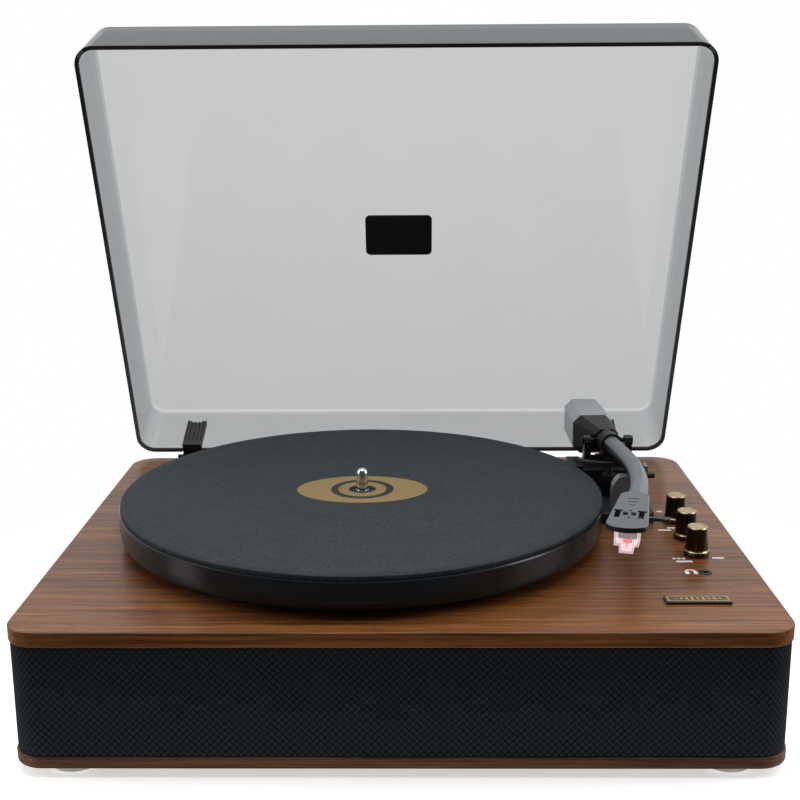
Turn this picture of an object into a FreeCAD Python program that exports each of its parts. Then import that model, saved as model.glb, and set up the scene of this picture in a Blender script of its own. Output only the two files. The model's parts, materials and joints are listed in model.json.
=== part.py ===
"""Record player: wooden plinth with speakers, belt-driven platter, tonearm and tilting dust cover.

Units are millimetres. The origin is the middle of the plinth on the surface it stands on:
+X to the right, +Y to the back, +Z up. Every piece is at rest: cover open, arm on its rest.
"""
import FreeCAD, Part
import math
import os
import re

import Sketcher

Vector = FreeCAD.Vector

# ---------------------------------------------------------------- driving dimensions
SIZES = {
    # plinth
    "plinth_width": 402.5, "plinth_depth": 319.0, "corner_radius": 17.0, "edge_round": 0.9,
    "foot_height": 5.0, "foot_radius": 15.0, "foot_inset": 30.0, "foot_setback": 19.0,
    "bottom_thick": 6.4, "body_height": 60.5, "top_thick": 8.3,
    "wall_thick": 12.0, "cloth_thick": 0.6, "cloth_inset": 0.8, "rear_bare": 22.0,
    # platter and its drive
    "left_margin": 28.15, "platter_y": 2.8, "platter_margin": 11.1, "platter_gap": 5.0,
    "platter_height": 16.55, "platter_deck": 3.5, "platter_skirt": 6.0,
    "mat_inset": 0.9, "mat_thick": 2.7,
    "ring_radius": 66.0, "ring_thick": 4.0, "hub_radius": 13.0,
    "spindle_radius": 3.55, "spindle_rise": 13.6, "journal_radius": 4.0, "running_gap": 0.05,
    "pulley_radius": 5.0, "belt_thick": 1.0, "belt_width": 5.0, "belt_gap": 0.3,
    "motor_reach": 95.0, "motor_angle": 135.0, "motor_radius": 17.0, "motor_height": 24.0,
    # dust cover and its hinges
    "cover_side_margin": 3.8, "cover_front_margin": 5.95, "cover_height": 51.8,
    "cover_lean": 4.9, "cover_wall": 2.5, "cover_corner": 13.0, "cover_round": 3.0,
    "cover_gap": 1.0, "cover_shift": -3.06, "cover_setback": 1.0, "open_angle": 68.0,
    "hinge_behind": 3.15, "hinge_below": 1.05, "hinge_inset": 40.5, "pin_radius": 1.4,
    "knuckle_radius": 2.8, "leaf_width": 14.0, "leaf_rise": 31.0, "leaf_thick": 4.0,
    "plate_width": 47.1, "plate_depth": 31.1, "plate_thick": 1.2, "plate_y": 1.75,
    # controls on the deck
    "knob_inset": 28.9, "volume_y": -48.8, "source_y": -20.0, "speed_y": 11.0,
    "knob_height": 17.1, "knob_top_radius": 6.0, "knob_low_radius": 6.6,
    "knob_rim_radius": 7.35, "knob_lift": 0.5,
    "shaft_radius": 3.0, "jack_inset": 30.0, "jack_pitch": 28.6, "jack_radius": 3.65,
    "jack_bore": 1.8,
    "badge_inset": 43.75, "badge_setback": 40.3, "badge_width": 35.0, "badge_depth": 9.0,
    "badge_thick": 1.5,
    # tonearm
    "pivot_beyond": 14.8, "pivot_y": 79.0, "arm_z": 115.0, "arm_skew": 7.0, "arm_bend": 21.5,
    "bend_radius": 215.0, "rear_run": 41.0, "front_run": 22.0, "tube_radius": 5.5,
    "tube_wall": 0.8, "weight_side": 27.0, "weight_chamfer": 5.0, "weight_start": 16.0,
    "weight_end": 71.0, "weight_skew": 0.5, "weight_aside": 7.5, "weight_taper": 9.0,
    "shell_length": 64.0, "shell_rear": 7.8, "shell_front": 11.3, "shell_corner": 6.5,
    "shell_thick": 3.0, "shell_rise": 7.0, "arm_base_height": 7.0, "platter_clear": 3.0,
    "cue_radius": 34.0, "cue_gap": 0.5,
    # speakers and rear sockets
    "speaker_inset": 81.25, "speaker_margin": 1.75, "surround_width": 5.0,
    "speaker_screw_edge": 1.5,
    "socket_x": -20.0, "socket_width": 80.0, "socket_height": 34.0,
}

# ---------------------------------------------------------------- places worked out from them
LEVELS = {
    "body_z": "foot_height + bottom_thick",
    "deck_under": "body_z + body_height",
    "deck_z": "deck_under + top_thick",
    "half_width": "plinth_width / 2",
    "half_depth": "plinth_depth / 2",
    "wall_inset": "cloth_inset + cloth_thick",
    "wall_half_x": "half_width - wall_inset",
    "wall_half_y": "half_depth - wall_inset",
    "room_half_y": "wall_half_y - wall_thick",
    "body_mid_z": "body_z + body_height / 2",
    "platter_radius": "half_depth - platter_margin",
    "mat_radius": "platter_radius - mat_inset",
    "platter_x": "left_margin + platter_radius - half_width",
    "platter_z": "deck_z + platter_gap",
    "platter_top": "platter_z + platter_height",
    "mat_top": "platter_top + mat_thick",
    "motor_x": "platter_x + motor_reach * cos(motor_angle)",
    "motor_y": "platter_y + motor_reach * sin(motor_angle)",
    "cover_back": "half_depth - cover_setback",
    "cover_front": "cover_front_margin - half_depth",
    "hinge_y": "half_depth + hinge_behind",
    "hinge_z": "deck_z - hinge_below",
    "rim_z": "deck_z + cover_gap",
    "cover_top": "rim_z + cover_height",
    "cover_left": "cover_shift + cover_side_margin - half_width",
    "cover_right": "cover_shift + half_width - cover_side_margin",
    "tilt_y": "hinge_y - hinge_y * cos(open_angle) - hinge_z * sin(open_angle)",
    "tilt_z": "hinge_z + hinge_y * sin(open_angle) - hinge_z * cos(open_angle)",
    "knob_x": "half_width - knob_inset",
    "jack_x": "half_width - jack_inset",
    "jack_y": "volume_y - jack_pitch",
    "badge_x": "half_width - badge_inset",
    "badge_y": "badge_setback - half_depth",
    "pivot_x": "platter_x + platter_radius + pivot_beyond",
    "arm_deck": "deck_z + arm_base_height",
    "shell_z": "arm_z + shell_rise - shell_thick",
    "speaker_x": "half_width - speaker_inset",
    "speaker_radius": "body_height / 2 - speaker_margin",
    "cone_radius": "speaker_radius - surround_width",
    "speaker_screw_reach": "(speaker_radius - speaker_screw_edge) * sin(45)",
    "speaker_y": "-room_half_y",
}

doc = FreeCAD.newDocument("record_player")
sheet = doc.addObject("Spreadsheet::Sheet", "sizes")
for row, (alias, value) in enumerate(SIZES.items(), 1):
    sheet.set(f"A{row}", alias)
    sheet.set(f"B{row}", str(value))
    sheet.setAlias(f"B{row}", alias)
doc.recompute()


def bound(text):
    """An expression of named sizes and levels, with each name given its owner."""
    def owner(match):
        word = match.group(0)
        return f"sizes.{word}" if word in SIZES else f"levels.{word}" if word in LEVELS else word
    return re.sub(r"[a-z][a-z_]*", owner, str(text))


levels = doc.addObject("App::VarSet", "levels")
for name, expression in LEVELS.items():
    levels.addProperty("App::PropertyFloat", name)
    levels.setExpression(name, bound(expression))
doc.recompute()


def size(name):
    """A named size or level as a number, for shapes that are worked out here."""
    return float(sheet.get(name)) if name in SIZES else float(getattr(levels, name))


# ---------------------------------------------------------------- building blocks
TURN = {
    "Z": FreeCAD.Rotation(),
    "X": FreeCAD.Rotation(Vector(0, 1, 0), 90),
    "Y": FreeCAD.Rotation(Vector(1, 0, 0), -90),
}
NODES = []
NEAR = 1e-6


def node(label, piece):
    """Name a finished piece and keep it for writing."""
    piece.Label = label
    NODES.append(piece)
    return piece


def bind(piece, **expressions):
    """Bind properties of a piece to sizes; a double underscore stands for a dot."""
    for path, expression in expressions.items():
        piece.setExpression(path.replace("__", "."), bound(expression))
    return piece


def place(piece, x=0, y=0, z=0):
    """Bind the place of a piece."""
    return bind(piece, Placement__Base__x=x, Placement__Base__y=y, Placement__Base__z=z)


def box(x, y, z):
    """A box between two faces in each direction."""
    piece = doc.addObject("Part::Box", "block")
    bind(piece, Length=f"({x[1]}) - ({x[0]})", Width=f"({y[1]}) - ({y[0]})")
    bind(piece, Height=f"({z[1]}) - ({z[0]})")
    return place(piece, x[0], y[0], z[0])


def rod(radius, length, x, y, z, axis="Z"):
    """A cylinder that starts at a point and runs along an axis."""
    piece = doc.addObject("Part::Cylinder", "rod")
    piece.Placement = FreeCAD.Placement(Vector(), TURN[axis])
    bind(piece, Radius=radius, Height=length)
    return place(piece, x, y, z)


def fuse(*pieces):
    """One solid from several that meet."""
    piece = doc.addObject("Part::MultiFuse", "union")
    piece.Shapes = list(pieces)
    piece.Refine = True
    return piece


def cut(base, *tools):
    """A piece less its tools."""
    piece = doc.addObject("Part::Cut", "cut")
    piece.Base = base
    piece.Tool = tools[0] if len(tools) == 1 else fuse(*tools)
    return piece


def common(first, second):
    """What two pieces share."""
    piece = doc.addObject("Part::Common", "common")
    piece.Base = first
    piece.Tool = second
    return piece


def group(pieces):
    """Separate solids under one name."""
    piece = doc.addObject("Part::Compound", "group")
    piece.Links = list(pieces)
    return piece


def outline(body, plane, points):
    """A closed sketch of straight lines whose corners are bound to sizes."""
    sketch = body.newObject("Sketcher::SketchObject", "outline")
    support = [part for part in body.Origin.OriginFeatures if part.Role == plane][0]
    sketch.AttachmentSupport = [(support, "")]
    sketch.MapMode = "FlatFace"
    count = len(points)
    ring = [Vector(math.cos(2 * math.pi * i / count), math.sin(2 * math.pi * i / count), 0)
            for i in range(count)]
    for i in range(count):
        sketch.addGeometry(Part.LineSegment(ring[i], ring[(i + 1) % count]))
    for i in range(count):
        sketch.addConstraint(Sketcher.Constraint("Coincident", i, 2, (i + 1) % count, 1))
    for i, (across, up) in enumerate(points):
        for kind, start, value in (("DistanceX", ring[i].x, across), ("DistanceY", ring[i].y, up)):
            index = sketch.addConstraint(Sketcher.Constraint(kind, -1, 1, i, 1, start))
            sketch.setExpression(f"Constraints[{index}]", bound(value))
    return sketch


def turned(points, x=0, y=0, z=0, axis="Z"):
    """A body turned from a profile of (radius, height) points."""
    body = doc.addObject("PartDesign::Body", "turned")
    profile = outline(body, "XZ_Plane", points)
    solid = body.newObject("PartDesign::Revolution", "turn")
    solid.Profile = profile
    spindle = [part for part in body.Origin.OriginFeatures if part.Role == "Z_Axis"][0]
    solid.ReferenceAxis = (spindle, [""])
    solid.Angle = 360
    body.Placement = FreeCAD.Placement(Vector(), TURN[axis])
    return place(body, x, y, z)


def edges_of(feature, wanted):
    """Names of a feature's edges for which wanted(edge) is true."""
    return [f"Edge{i}" for i, edge in enumerate(feature.Shape.Edges, 1) if wanted(edge)]


def heights(shape):
    """The heights of a shape's corners, lowest first."""
    return sorted(vertex.Z for vertex in shape.Vertexes)


def rising(edge):
    """Whether an edge climbs from one level to another."""
    return heights(edge)[-1] - heights(edge)[0] > NEAR


def level_with(*wanted):
    """A test for the edges whose ends are all at one of some heights."""
    return lambda edge: any(all(abs(height - level) < NEAR for height in heights(edge))
                            for level in wanted)


def round_over(body, feature, radius, wanted):
    """Round the wanted edges of a feature."""
    doc.recompute()
    fillet = body.newObject("PartDesign::Fillet", "round")
    fillet.Base = (feature, edges_of(feature, wanted))
    fillet.setExpression("Radius", bound(radius))
    return fillet


def board(x, y, z, corner, edge=None, both=True):
    """A board with rounded corners in plan, and rounded top and bottom edges if asked."""
    body = doc.addObject("PartDesign::Body", "board")
    profile = outline(body, "XY_Plane", [(x[0], y[0]), (x[1], y[0]), (x[1], y[1]), (x[0], y[1])])
    pad = body.newObject("PartDesign::Pad", "pad")
    pad.Profile = profile
    bind(pad, Length=f"({z[1]}) - ({z[0]})")
    feature = round_over(body, pad, corner, rising)
    if edge:
        doc.recompute()
        top = heights(feature.Shape)[-1]
        round_over(body, feature, edge, level_with(0.0, top) if both else level_with(top))
    return place(body, 0, 0, z[0])


def hood(x, y, z, lean, corner, edge):
    """A block whose front leans back, with rounded uprights and a rounded top edge."""
    body = doc.addObject("PartDesign::Body", "hood")
    height = f"({z[1]}) - ({z[0]})"
    pad = body.newObject("PartDesign::Pad", "pad")
    pad.Profile = outline(body, "YZ_Plane", [(y[0], 0), (y[1], 0), (y[1], height),
                                             (f"{y[0]} + {lean}", height)])
    bind(pad, Length=f"({x[1]}) - ({x[0]})")
    walls = round_over(body, pad, corner, rising)
    doc.recompute()
    round_over(body, walls, edge, level_with(heights(walls.Shape)[-1]))
    return place(body, x[0], 0, z[0])


def across(points, near, far):
    """A block of one outline of (x, z) points, between two faces along Y."""
    body = doc.addObject("PartDesign::Body", "block")
    pad = body.newObject("PartDesign::Pad", "pad")
    pad.Profile = outline(body, "XZ_Plane", points)
    bind(pad, Length=f"({far}) - ({near})")
    return place(body, 0, far, 0)


def solid_of(shape):
    """An object that holds a shape worked out here."""
    piece = doc.addObject("Part::Feature", "shape")
    piece.Shape = shape
    return piece


def screws(places, head, head_height, shank, length, axis="Z"):
    """Cross-head screws: each head starts at its place and the shank runs on along the axis."""
    made = []
    step = Vector(*(float(axis == letter) for letter in "XYZ"))
    for x, y, z in places:
        start = (f"({x}) + ({step.x * head_height})", f"({y}) + ({step.y * head_height})",
                 f"({z}) + ({step.z * head_height})")
        body = fuse(rod(head, head_height, x, y, z, axis), rod(shank, length, *start, axis))
        arms = []
        for turn in (0, 1):
            half = [head * 0.62, head * 0.14][::1 if turn else -1]
            spans = []
            across = iter(half)
            for letter, centre in zip("XYZ", (x, y, z)):
                if letter == axis:
                    spans.append((f"({centre}) - 0.1", f"({centre}) + {head_height * 0.6}"))
                else:
                    reach = next(across)
                    spans.append((f"({centre}) - {reach}", f"({centre}) + {reach}"))
            arms.append(box(*spans))
        made.append(cut(body, *arms))
    return group(made)


# ---------------------------------------------------------------- plinth
PLATTER_AT = ("platter_x", "platter_y")
CORNERS = [(sx, sy) for sy in (-1, 1) for sx in (-1, 1)]
HINGES = {"left": "cover_left + hinge_inset", "right": "cover_right - hinge_inset"}
SIDE_GAP = 0.3
EAR = 3.0
WING = 8.0
KNUCKLE_END = f"(leaf_width / 2 + {SIDE_GAP})"
HINGE_SCREW = {"head": 2.4, "head_height": 1.2, "shank": 1.2, "length": 11.0}
BRACKET_THICK = 1.5
HINGE_SPOTS = [(f"{x} {sign} ({KNUCKLE_END} + {EAR + WING / 2})", "deck_z - top_thick / 2")
               for x in HINGES.values() for sign in "-+"]
BASE_SCREW = {"head": 3.2, "head_height": 2.0, "shank": 1.6, "length": 16.0}
BASE_PLACES = [(f"{sx} * plinth_width * 0.3", f"{sy} * (wall_half_y - wall_thick / 2)",
                "foot_height") for sx, sy in CORNERS]
BASE_PLACES += [(f"{sx} * (wall_half_x - wall_thick / 2)", f"{sy} * plinth_depth / 4",
                 "foot_height") for sx, sy in CORNERS]


def base_holes():
    """Pilot holes that the base screws fill."""
    return [rod(BASE_SCREW["shank"], BASE_SCREW["length"] + BASE_SCREW["head_height"], x, y, z)
            for x, y, z in BASE_PLACES]


full_x = ("-half_width", "half_width")
full_y = ("-half_depth", "half_depth")
slab = board(full_x, full_y, ("deck_under", "deck_z"), "corner_radius", "edge_round")
KNOB_YS = ["volume_y", "source_y", "speed_y"]
BUSH_WALL = 0.6
deck_holes = [rod("hub_radius - 4", "top_thick", *PLATTER_AT, "deck_under"),
              rod("pulley_radius + 3", "top_thick", "motor_x", "motor_y", "deck_under"),
              rod("jack_radius - 0.6", "top_thick", "jack_x", "jack_y", "deck_under"),
              rod("8", "top_thick", "pivot_x", "pivot_y", "deck_under")]
deck_holes += [rod(f"shaft_radius + {BUSH_WALL}", "top_thick", "knob_x", y, "deck_under")
               for y in KNOB_YS]
deck_holes += [rod(HINGE_SCREW["shank"], HINGE_SCREW["length"], x,
                   f"half_depth - {HINGE_SCREW['length'] - BRACKET_THICK}", z, "Y")
               for x, z in HINGE_SPOTS]
node("top_board", cut(slab, *deck_holes))

floor_board = board(full_x, full_y, ("foot_height", "body_z"), "corner_radius", "edge_round")
head_pockets = [rod(BASE_SCREW["head"], BASE_SCREW["head_height"], *spot) for spot in BASE_PLACES]
node("bottom_board", cut(floor_board, *head_pockets, *base_holes()))
node("base_screws", screws(BASE_PLACES, **BASE_SCREW))


def shell(inset, thick):
    """The upright band between the boards, between two rounded outlines."""
    outer = board((f"{inset} - half_width", f"half_width - ({inset})"),
                  (f"{inset} - half_depth", f"half_depth - ({inset})"),
                  ("body_z", "deck_under"), f"corner_radius - ({inset})")
    deep = f"{inset} + {thick}"
    inner = board((f"{deep} - half_width", f"half_width - ({deep})"),
                  (f"{deep} - half_depth", f"half_depth - ({deep})"),
                  ("body_z", "deck_under"), f"corner_radius - ({deep})")
    return cut(outer, inner)


SPEAKERS = {"left": "-speaker_x", "right": "speaker_x"}
SPEAKER_SCREW = {"head": 1.4, "head_height": 1.2, "shank": 0.9, "length": 9.0}


def speaker_spots():
    """Where the speaker screws stand: four round each speaker."""
    return [(f"{x} + {sx} * speaker_screw_reach", f"body_mid_z + {sz} * speaker_screw_reach")
            for x in SPEAKERS.values() for sx, sz in CORNERS]


band_y = ("corner_radius - half_depth", "half_depth - corner_radius")
walls_z = ("body_z", "deck_under")
speaker_holes = [rod("cone_radius", "wall_thick", x, "-wall_half_y", "body_mid_z", "Y")
                 for x in SPEAKERS.values()]
speaker_holes += [rod(SPEAKER_SCREW["shank"], 7.0, x, "speaker_y - 7", z, "Y")
                  for x, z in speaker_spots()]
node("front_baffle", cut(common(shell("wall_inset", "wall_thick"),
                                box(full_x, ("-half_depth", band_y[0]), walls_z)),
                         *speaker_holes, *base_holes()))
for side, span in (("left", ("-half_width", "0")), ("right", ("0", "half_width"))):
    wall = common(shell("wall_inset", "wall_thick"), box(span, band_y, walls_z))
    node(f"side_wall_{side}", cut(wall, *base_holes()))

SOCKET_X = ("socket_x - socket_width / 2", "socket_x + socket_width / 2")
SOCKET_Z = ("body_mid_z - socket_height / 2", "body_mid_z + socket_height / 2")
SOCKET_SCREW = {"head": 2.3, "head_height": 1.0, "shank": 1.2, "length": 9.0}
SOCKET_SPOTS = [(f"socket_x + {sx} * (socket_width / 2 - 4)",
                 f"body_mid_z + {sz} * (socket_height / 2 - 4)") for sx, sz in CORNERS]
rear_holes = [box((f"{SOCKET_X[0]} + 8", f"{SOCKET_X[1]} - 8"), ("room_half_y", "wall_half_y"),
                  (f"{SOCKET_Z[0]} + 8", f"{SOCKET_Z[1]} - 8"))]
rear_holes += [rod(SOCKET_SCREW["shank"], 12.0, x, "room_half_y", z, "Y") for x, z in SOCKET_SPOTS]
node("rear_panel", cut(common(shell("wall_inset", "wall_thick"),
                              box(full_x, (band_y[1], "half_depth"), walls_z)),
                       *rear_holes, *base_holes()))
node("speaker_cloth", cut(shell("cloth_inset", "cloth_thick"),
                          box(("rear_bare - half_width", "half_width - rear_bare"),
                              ("0", "half_depth"), walls_z)))

foot_profile = [(0, 1.2), (5, 1.2), (5, 0), ("foot_radius - 1.6", 0), ("foot_radius - 0.4", 1.2),
                ("foot_radius", "foot_height"), (0, "foot_height")]
node("feet", group([turned(foot_profile, f"{sx} * (half_width - foot_inset)",
                           f"{sy} * (half_depth - foot_setback)") for sx, sy in CORNERS]))

# ---------------------------------------------------------------- speakers
frame_profile = [("cone_radius", 0), ("speaker_radius", 0), ("speaker_radius", 2), ("speaker_radius - 3", 2),
                 (17, 18), (17, 19.5), (8.8, 19.5), (8.8, 18), (15.6, 18), ("cone_radius", 2.4)]
cone_profile = [(0, 8.5), (7.5, 12), ("cone_radius - 1.1", 0.8), ("cone_radius - 0.1", 0.8),
                ("cone_radius - 0.1", 1.8), ("cone_radius - 0.6", 1.8), (8.3, 13.2), (8.3, 17.5), (7.5, 17.5),
                (7.5, 13), (0, 9.5)]
magnets = []
for side, x in SPEAKERS.items():
    spot = {"x": x, "y": "speaker_y", "z": "body_mid_z", "axis": "Y"}
    holes = [rod(SPEAKER_SCREW["shank"], 2.0, f"{x} + {sx} * speaker_screw_reach", "speaker_y",
                 f"body_mid_z + {sz} * speaker_screw_reach", "Y")
             for sx, sz in CORNERS]
    node(f"speaker_frame_{side}", cut(turned(frame_profile, **spot), *holes))
    node(f"speaker_cone_{side}", turned(cone_profile, **spot))
    magnets.append(rod(18.0, 11.0, x, "speaker_y + 19.5", "body_mid_z", "Y"))
node("speaker_magnets", group(magnets))


def reversed_screws(places, head, head_height, shank, length):
    """Screws along Y whose heads are on the far side: the shank runs towards -Y."""
    made = []
    for x, y, z in places:
        body = fuse(rod(head, head_height, x, y, z, "Y"),
                    rod(shank, length, x, f"({y}) - {length}", z, "Y"))
        slots = [box((f"{x} - {w}", f"{x} + {w}"),
                     (f"({y}) + {head_height * 0.4}", f"({y}) + {head_height + 0.1}"),
                     (f"{z} - {d}", f"{z} + {d}"))
                 for w, d in ((head * 0.62, head * 0.14), (head * 0.14, head * 0.62))]
        made.append(cut(body, *slots))
    return made


node("speaker_screws", group(
    reversed_screws([(x, "speaker_y + 2", z) for x, z in speaker_spots()], **SPEAKER_SCREW)))

# ---------------------------------------------------------------- sockets and electronics
plate_y = ("wall_half_y", "half_depth")
PHONO_XS = ["socket_x - 26", "socket_x - 12"]
AUX_X = "socket_x + 8"
INLET_X = "socket_x + 26"
PHONO_NECK = 3.6
PHONO_SLEEVE = 4.15
PHONO_BURIED = 11.6
AUX_BARREL = 3.0
INLET_BARREL = 4.2
ACROSS_PLATE = {"length": 4.0, "y": "wall_half_y - 1"}
plate_holes = [rod(radius, x=x, z=z, axis="Y", **ACROSS_PLATE) for radius, x, z in
               [(PHONO_NECK, x, "body_mid_z") for x in PHONO_XS]
               + [(AUX_BARREL, AUX_X, "body_mid_z"), (INLET_BARREL, INLET_X, "body_mid_z")]
               + [(SOCKET_SCREW["shank"], x, z) for x, z in SOCKET_SPOTS]]
node("connector_plate", cut(box(SOCKET_X, plate_y, SOCKET_Z), *plate_holes))
phono_profile = [(0, 0), (PHONO_NECK, 0), (PHONO_NECK, PHONO_BURIED),
                 (PHONO_SLEEVE, PHONO_BURIED), (PHONO_SLEEVE, 20), (3.4, 20), (3.4, 14),
                 (1.6, 14), (1.6, 4), (0, 4)]
node("rca_jacks", group([turned(phono_profile, x, f"half_depth - {PHONO_BURIED}", "body_mid_z", "Y")
                         for x in PHONO_XS]))


def rear_socket(x, radius, length, proud, block, deep, bore, bore_length):
    """A barrel that stands a little out of the plate, with a block behind it and a bore."""
    barrel = rod(radius, length, x, f"half_depth + {proud} - {length}", "body_mid_z", "Y")
    case = box((f"{x} - {block}", f"{x} + {block}"), (f"room_half_y - {deep}", "wall_half_y - 3"),
               (f"body_mid_z - {block}", f"body_mid_z + {block}"))
    hole = rod(bore, bore_length, x, f"half_depth + {proud} - {bore_length}", "body_mid_z", "Y")
    return cut(fuse(barrel, case), hole)


node("aux_jack", rear_socket(AUX_X, AUX_BARREL, 16.0, 0.6, 4, 6, "jack_bore", 14.0))
INLET_BORE = 10.0
INLET_PROUD = 0.4
inlet_pin = rod(1.0, INLET_BORE - 1.5, INLET_X, f"half_depth + {INLET_PROUD} - {INLET_BORE}",
                "body_mid_z", "Y")
node("dc_inlet", fuse(rear_socket(INLET_X, INLET_BARREL, 14.0, INLET_PROUD, 5, 8, 2.85, INLET_BORE),
                      inlet_pin))
rear_spots = reversed_screws([(x, "half_depth", z) for x, z in SOCKET_SPOTS], **SOCKET_SCREW)
rear_spots += reversed_screws([(x, f"half_depth + {BRACKET_THICK}", z) for x, z in HINGE_SPOTS],
                              **HINGE_SCREW)
node("rear_screws", group(rear_spots))

PCB_Z = "body_z + 6"
pcb = [box(("socket_x - 45", "socket_x + 45"), ("room_half_y - 66", "room_half_y - 12"),
           (PCB_Z, f"{PCB_Z} + 1.6"))]
pcb += [rod(3.0, 6.0, f"socket_x + {sx * 40}", f"room_half_y - {39 - sy * 22}", "body_z")
        for sx, sy in CORNERS]
pcb += [rod(5.0, 14.0, f"socket_x + {dx}", "room_half_y - 24", PCB_Z) for dx in (-30, -16)]
pcb.append(box(("socket_x + 5", "socket_x + 30"), ("room_half_y - 50", "room_half_y - 46"),
               (PCB_Z, f"{PCB_Z} + 22")))
pcb.append(box(("socket_x - 25", "socket_x - 11"), ("room_half_y - 56", "room_half_y - 42"),
               (PCB_Z, f"{PCB_Z} + 3")))
node("circuit_board", fuse(*pcb))

# ---------------------------------------------------------------- controls
POT_DEPTH = 12.0
SHAFT_LOW = 14.0
shaft_foot = f"{0.5 - SHAFT_LOW}"


def control(y, half):
    """A control under the deck: a case, and a bush that fills its hole, bored for the shaft."""
    case = box((f"knob_x - {half}", f"knob_x + {half}"), (f"{y} - {half}", f"{y} + {half}"),
               (f"deck_under - {POT_DEPTH}", "deck_under"))
    bush = rod(f"shaft_radius + {BUSH_WALL}", f"{POT_DEPTH} + top_thick", "knob_x", y,
               f"deck_under - {POT_DEPTH}")
    bore = rod("shaft_radius + running_gap", SHAFT_LOW + 4.0, "knob_x", y, f"deck_z - {SHAFT_LOW}")
    return cut(fuse(case, bush), bore)


node("volume_pot", control(KNOB_YS[0], 8.5))
node("rotary_switches", group([control(y, 11.0) for y in KNOB_YS[1:]]))
knob_profile = [(0, shaft_foot), ("shaft_radius", shaft_foot),
                ("shaft_radius", "knob_lift"), ("knob_rim_radius - 0.3", "knob_lift"),
                ("knob_rim_radius", "knob_lift + 0.3"), ("knob_rim_radius", "knob_lift + 2.5"),
                ("knob_rim_radius - 0.5", "knob_lift + 3"), ("knob_low_radius", "knob_lift + 3.3"),
                ("knob_top_radius", "knob_lift + knob_height - 0.5"),
                ("knob_top_radius - 0.5", "knob_lift + knob_height"),
                ("knob_top_radius - 1.2", "knob_lift + knob_height"),
                ("knob_top_radius - 1.4", "knob_lift + knob_height - 0.2"),
                (0, "knob_lift + knob_height - 0.2")]
for label, y in zip(("volume_knob", "source_knob", "speed_knob"), KNOB_YS):
    mark = box(("knob_x - 0.4", "knob_x + 0.4"), (f"{y} - knob_rim_radius",
               f"{y} - knob_top_radius + 0.35"), ("deck_z + knob_lift + 4", "deck_z + 30"))
    node(label, cut(turned(knob_profile, "knob_x", y, "deck_z"), mark))
jack_profile = [("jack_bore", -13.4), (0, -13.4), (0, -15.4), ("jack_radius - 0.6", -15.4),
                ("jack_radius - 0.6", 0), ("jack_radius", 0), ("jack_radius", 0.4),
                ("jack_radius - 0.3", 0.6), ("jack_bore + 0.5", 0.6), ("jack_bore", 0.3)]
node("headphone_jack", turned(jack_profile, "jack_x", "jack_y", "deck_z"))
badge = board(("badge_x - badge_width / 2", "badge_x + badge_width / 2"),
              ("badge_y - badge_depth / 2", "badge_y + badge_depth / 2"),
              ("deck_z", "deck_z + badge_thick"), "0.8", "0.4", both=False)
node("name_badge", badge)

# ---------------------------------------------------------------- platter and drive
top = "platter_top - platter_z"
platter_profile = [
    ("journal_radius", -2), ("hub_radius", -2), ("hub_radius", f"{top} - platter_deck"),
    ("ring_radius - ring_thick", f"{top} - platter_deck"), ("ring_radius - ring_thick", 1),
    ("ring_radius", 1), ("ring_radius", f"{top} - platter_deck"),
    ("platter_radius - platter_skirt", f"{top} - platter_deck"),
    ("platter_radius - platter_skirt", 0), ("platter_radius - 3.2", 0),
    ("platter_radius - 1.2", 1.1), ("platter_radius - 0.3", 3.2), ("platter_radius", 6),
    ("platter_radius", f"{top} - 0.7"), ("platter_radius - 0.7", top), ("journal_radius", top)]
node("platter", turned(platter_profile, *PLATTER_AT, "platter_z"))
node("slipmat", turned([("journal_radius + 0.2", 0), ("mat_radius", 0),
                        ("mat_radius", "mat_thick - 0.5"), ("mat_radius - 0.5", "mat_thick"),
                        ("journal_radius + 0.2", "mat_thick")], *PLATTER_AT, "platter_top"))
SPINDLE_FOOT = 30.0
node("spindle", turned([(0, f"-{SPINDLE_FOOT}"), ("journal_radius", f"-{SPINDLE_FOOT}"),
                        ("journal_radius", "mat_top - deck_z"),
                        ("spindle_radius", "mat_top - deck_z"),
                        ("spindle_radius", "mat_top - deck_z + spindle_rise - 2.6"),
                        ("spindle_radius - 0.7", "mat_top - deck_z + spindle_rise - 1"),
                        ("spindle_radius - 1.9", "mat_top - deck_z + spindle_rise - 0.2"),
                        (0, "mat_top - deck_z + spindle_rise")], *PLATTER_AT, "deck_z"))
node("bearing_housing", turned([(0, -34), ("hub_radius - 4", -34), ("hub_radius - 4", 0), (20, 0),
                                (20, 1.4), ("hub_radius - 3", 2.6),
                                ("journal_radius + running_gap", 2.6),
                                ("journal_radius + running_gap", f"-{SPINDLE_FOOT} - 0.1"),
                                (0, f"-{SPINDLE_FOOT} - 0.1")], *PLATTER_AT, "deck_z"))
MOTOR_AT = ("motor_x", "motor_y")
BUSH = 6.0
FLANGE = 1.5
MOTOR_SHAFT = 1.0
bush_ring = "(motor_radius + 4)"
can_top = f"deck_under - {BUSH + FLANGE}"
motor = fuse(rod("motor_radius", "motor_height", *MOTOR_AT, f"{can_top} - motor_height"),
             rod("motor_radius + 8", FLANGE, *MOTOR_AT, can_top))
node("motor", cut(motor, rod(f"{MOTOR_SHAFT} + running_gap", 20.0, *MOTOR_AT, f"{can_top} - 16")))
bush_spots = [(f"motor_x + {bush_ring} * cos({turn})", f"motor_y + {bush_ring} * sin({turn})",
               f"deck_under - {BUSH}") for turn in (0, 120, 240)]
node("motor_bushes", group([cut(rod(3.5, BUSH, *spot), rod(1.5, BUSH, *spot))
                            for spot in bush_spots]))
PULLEY_Z = "platter_z + 2"
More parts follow.
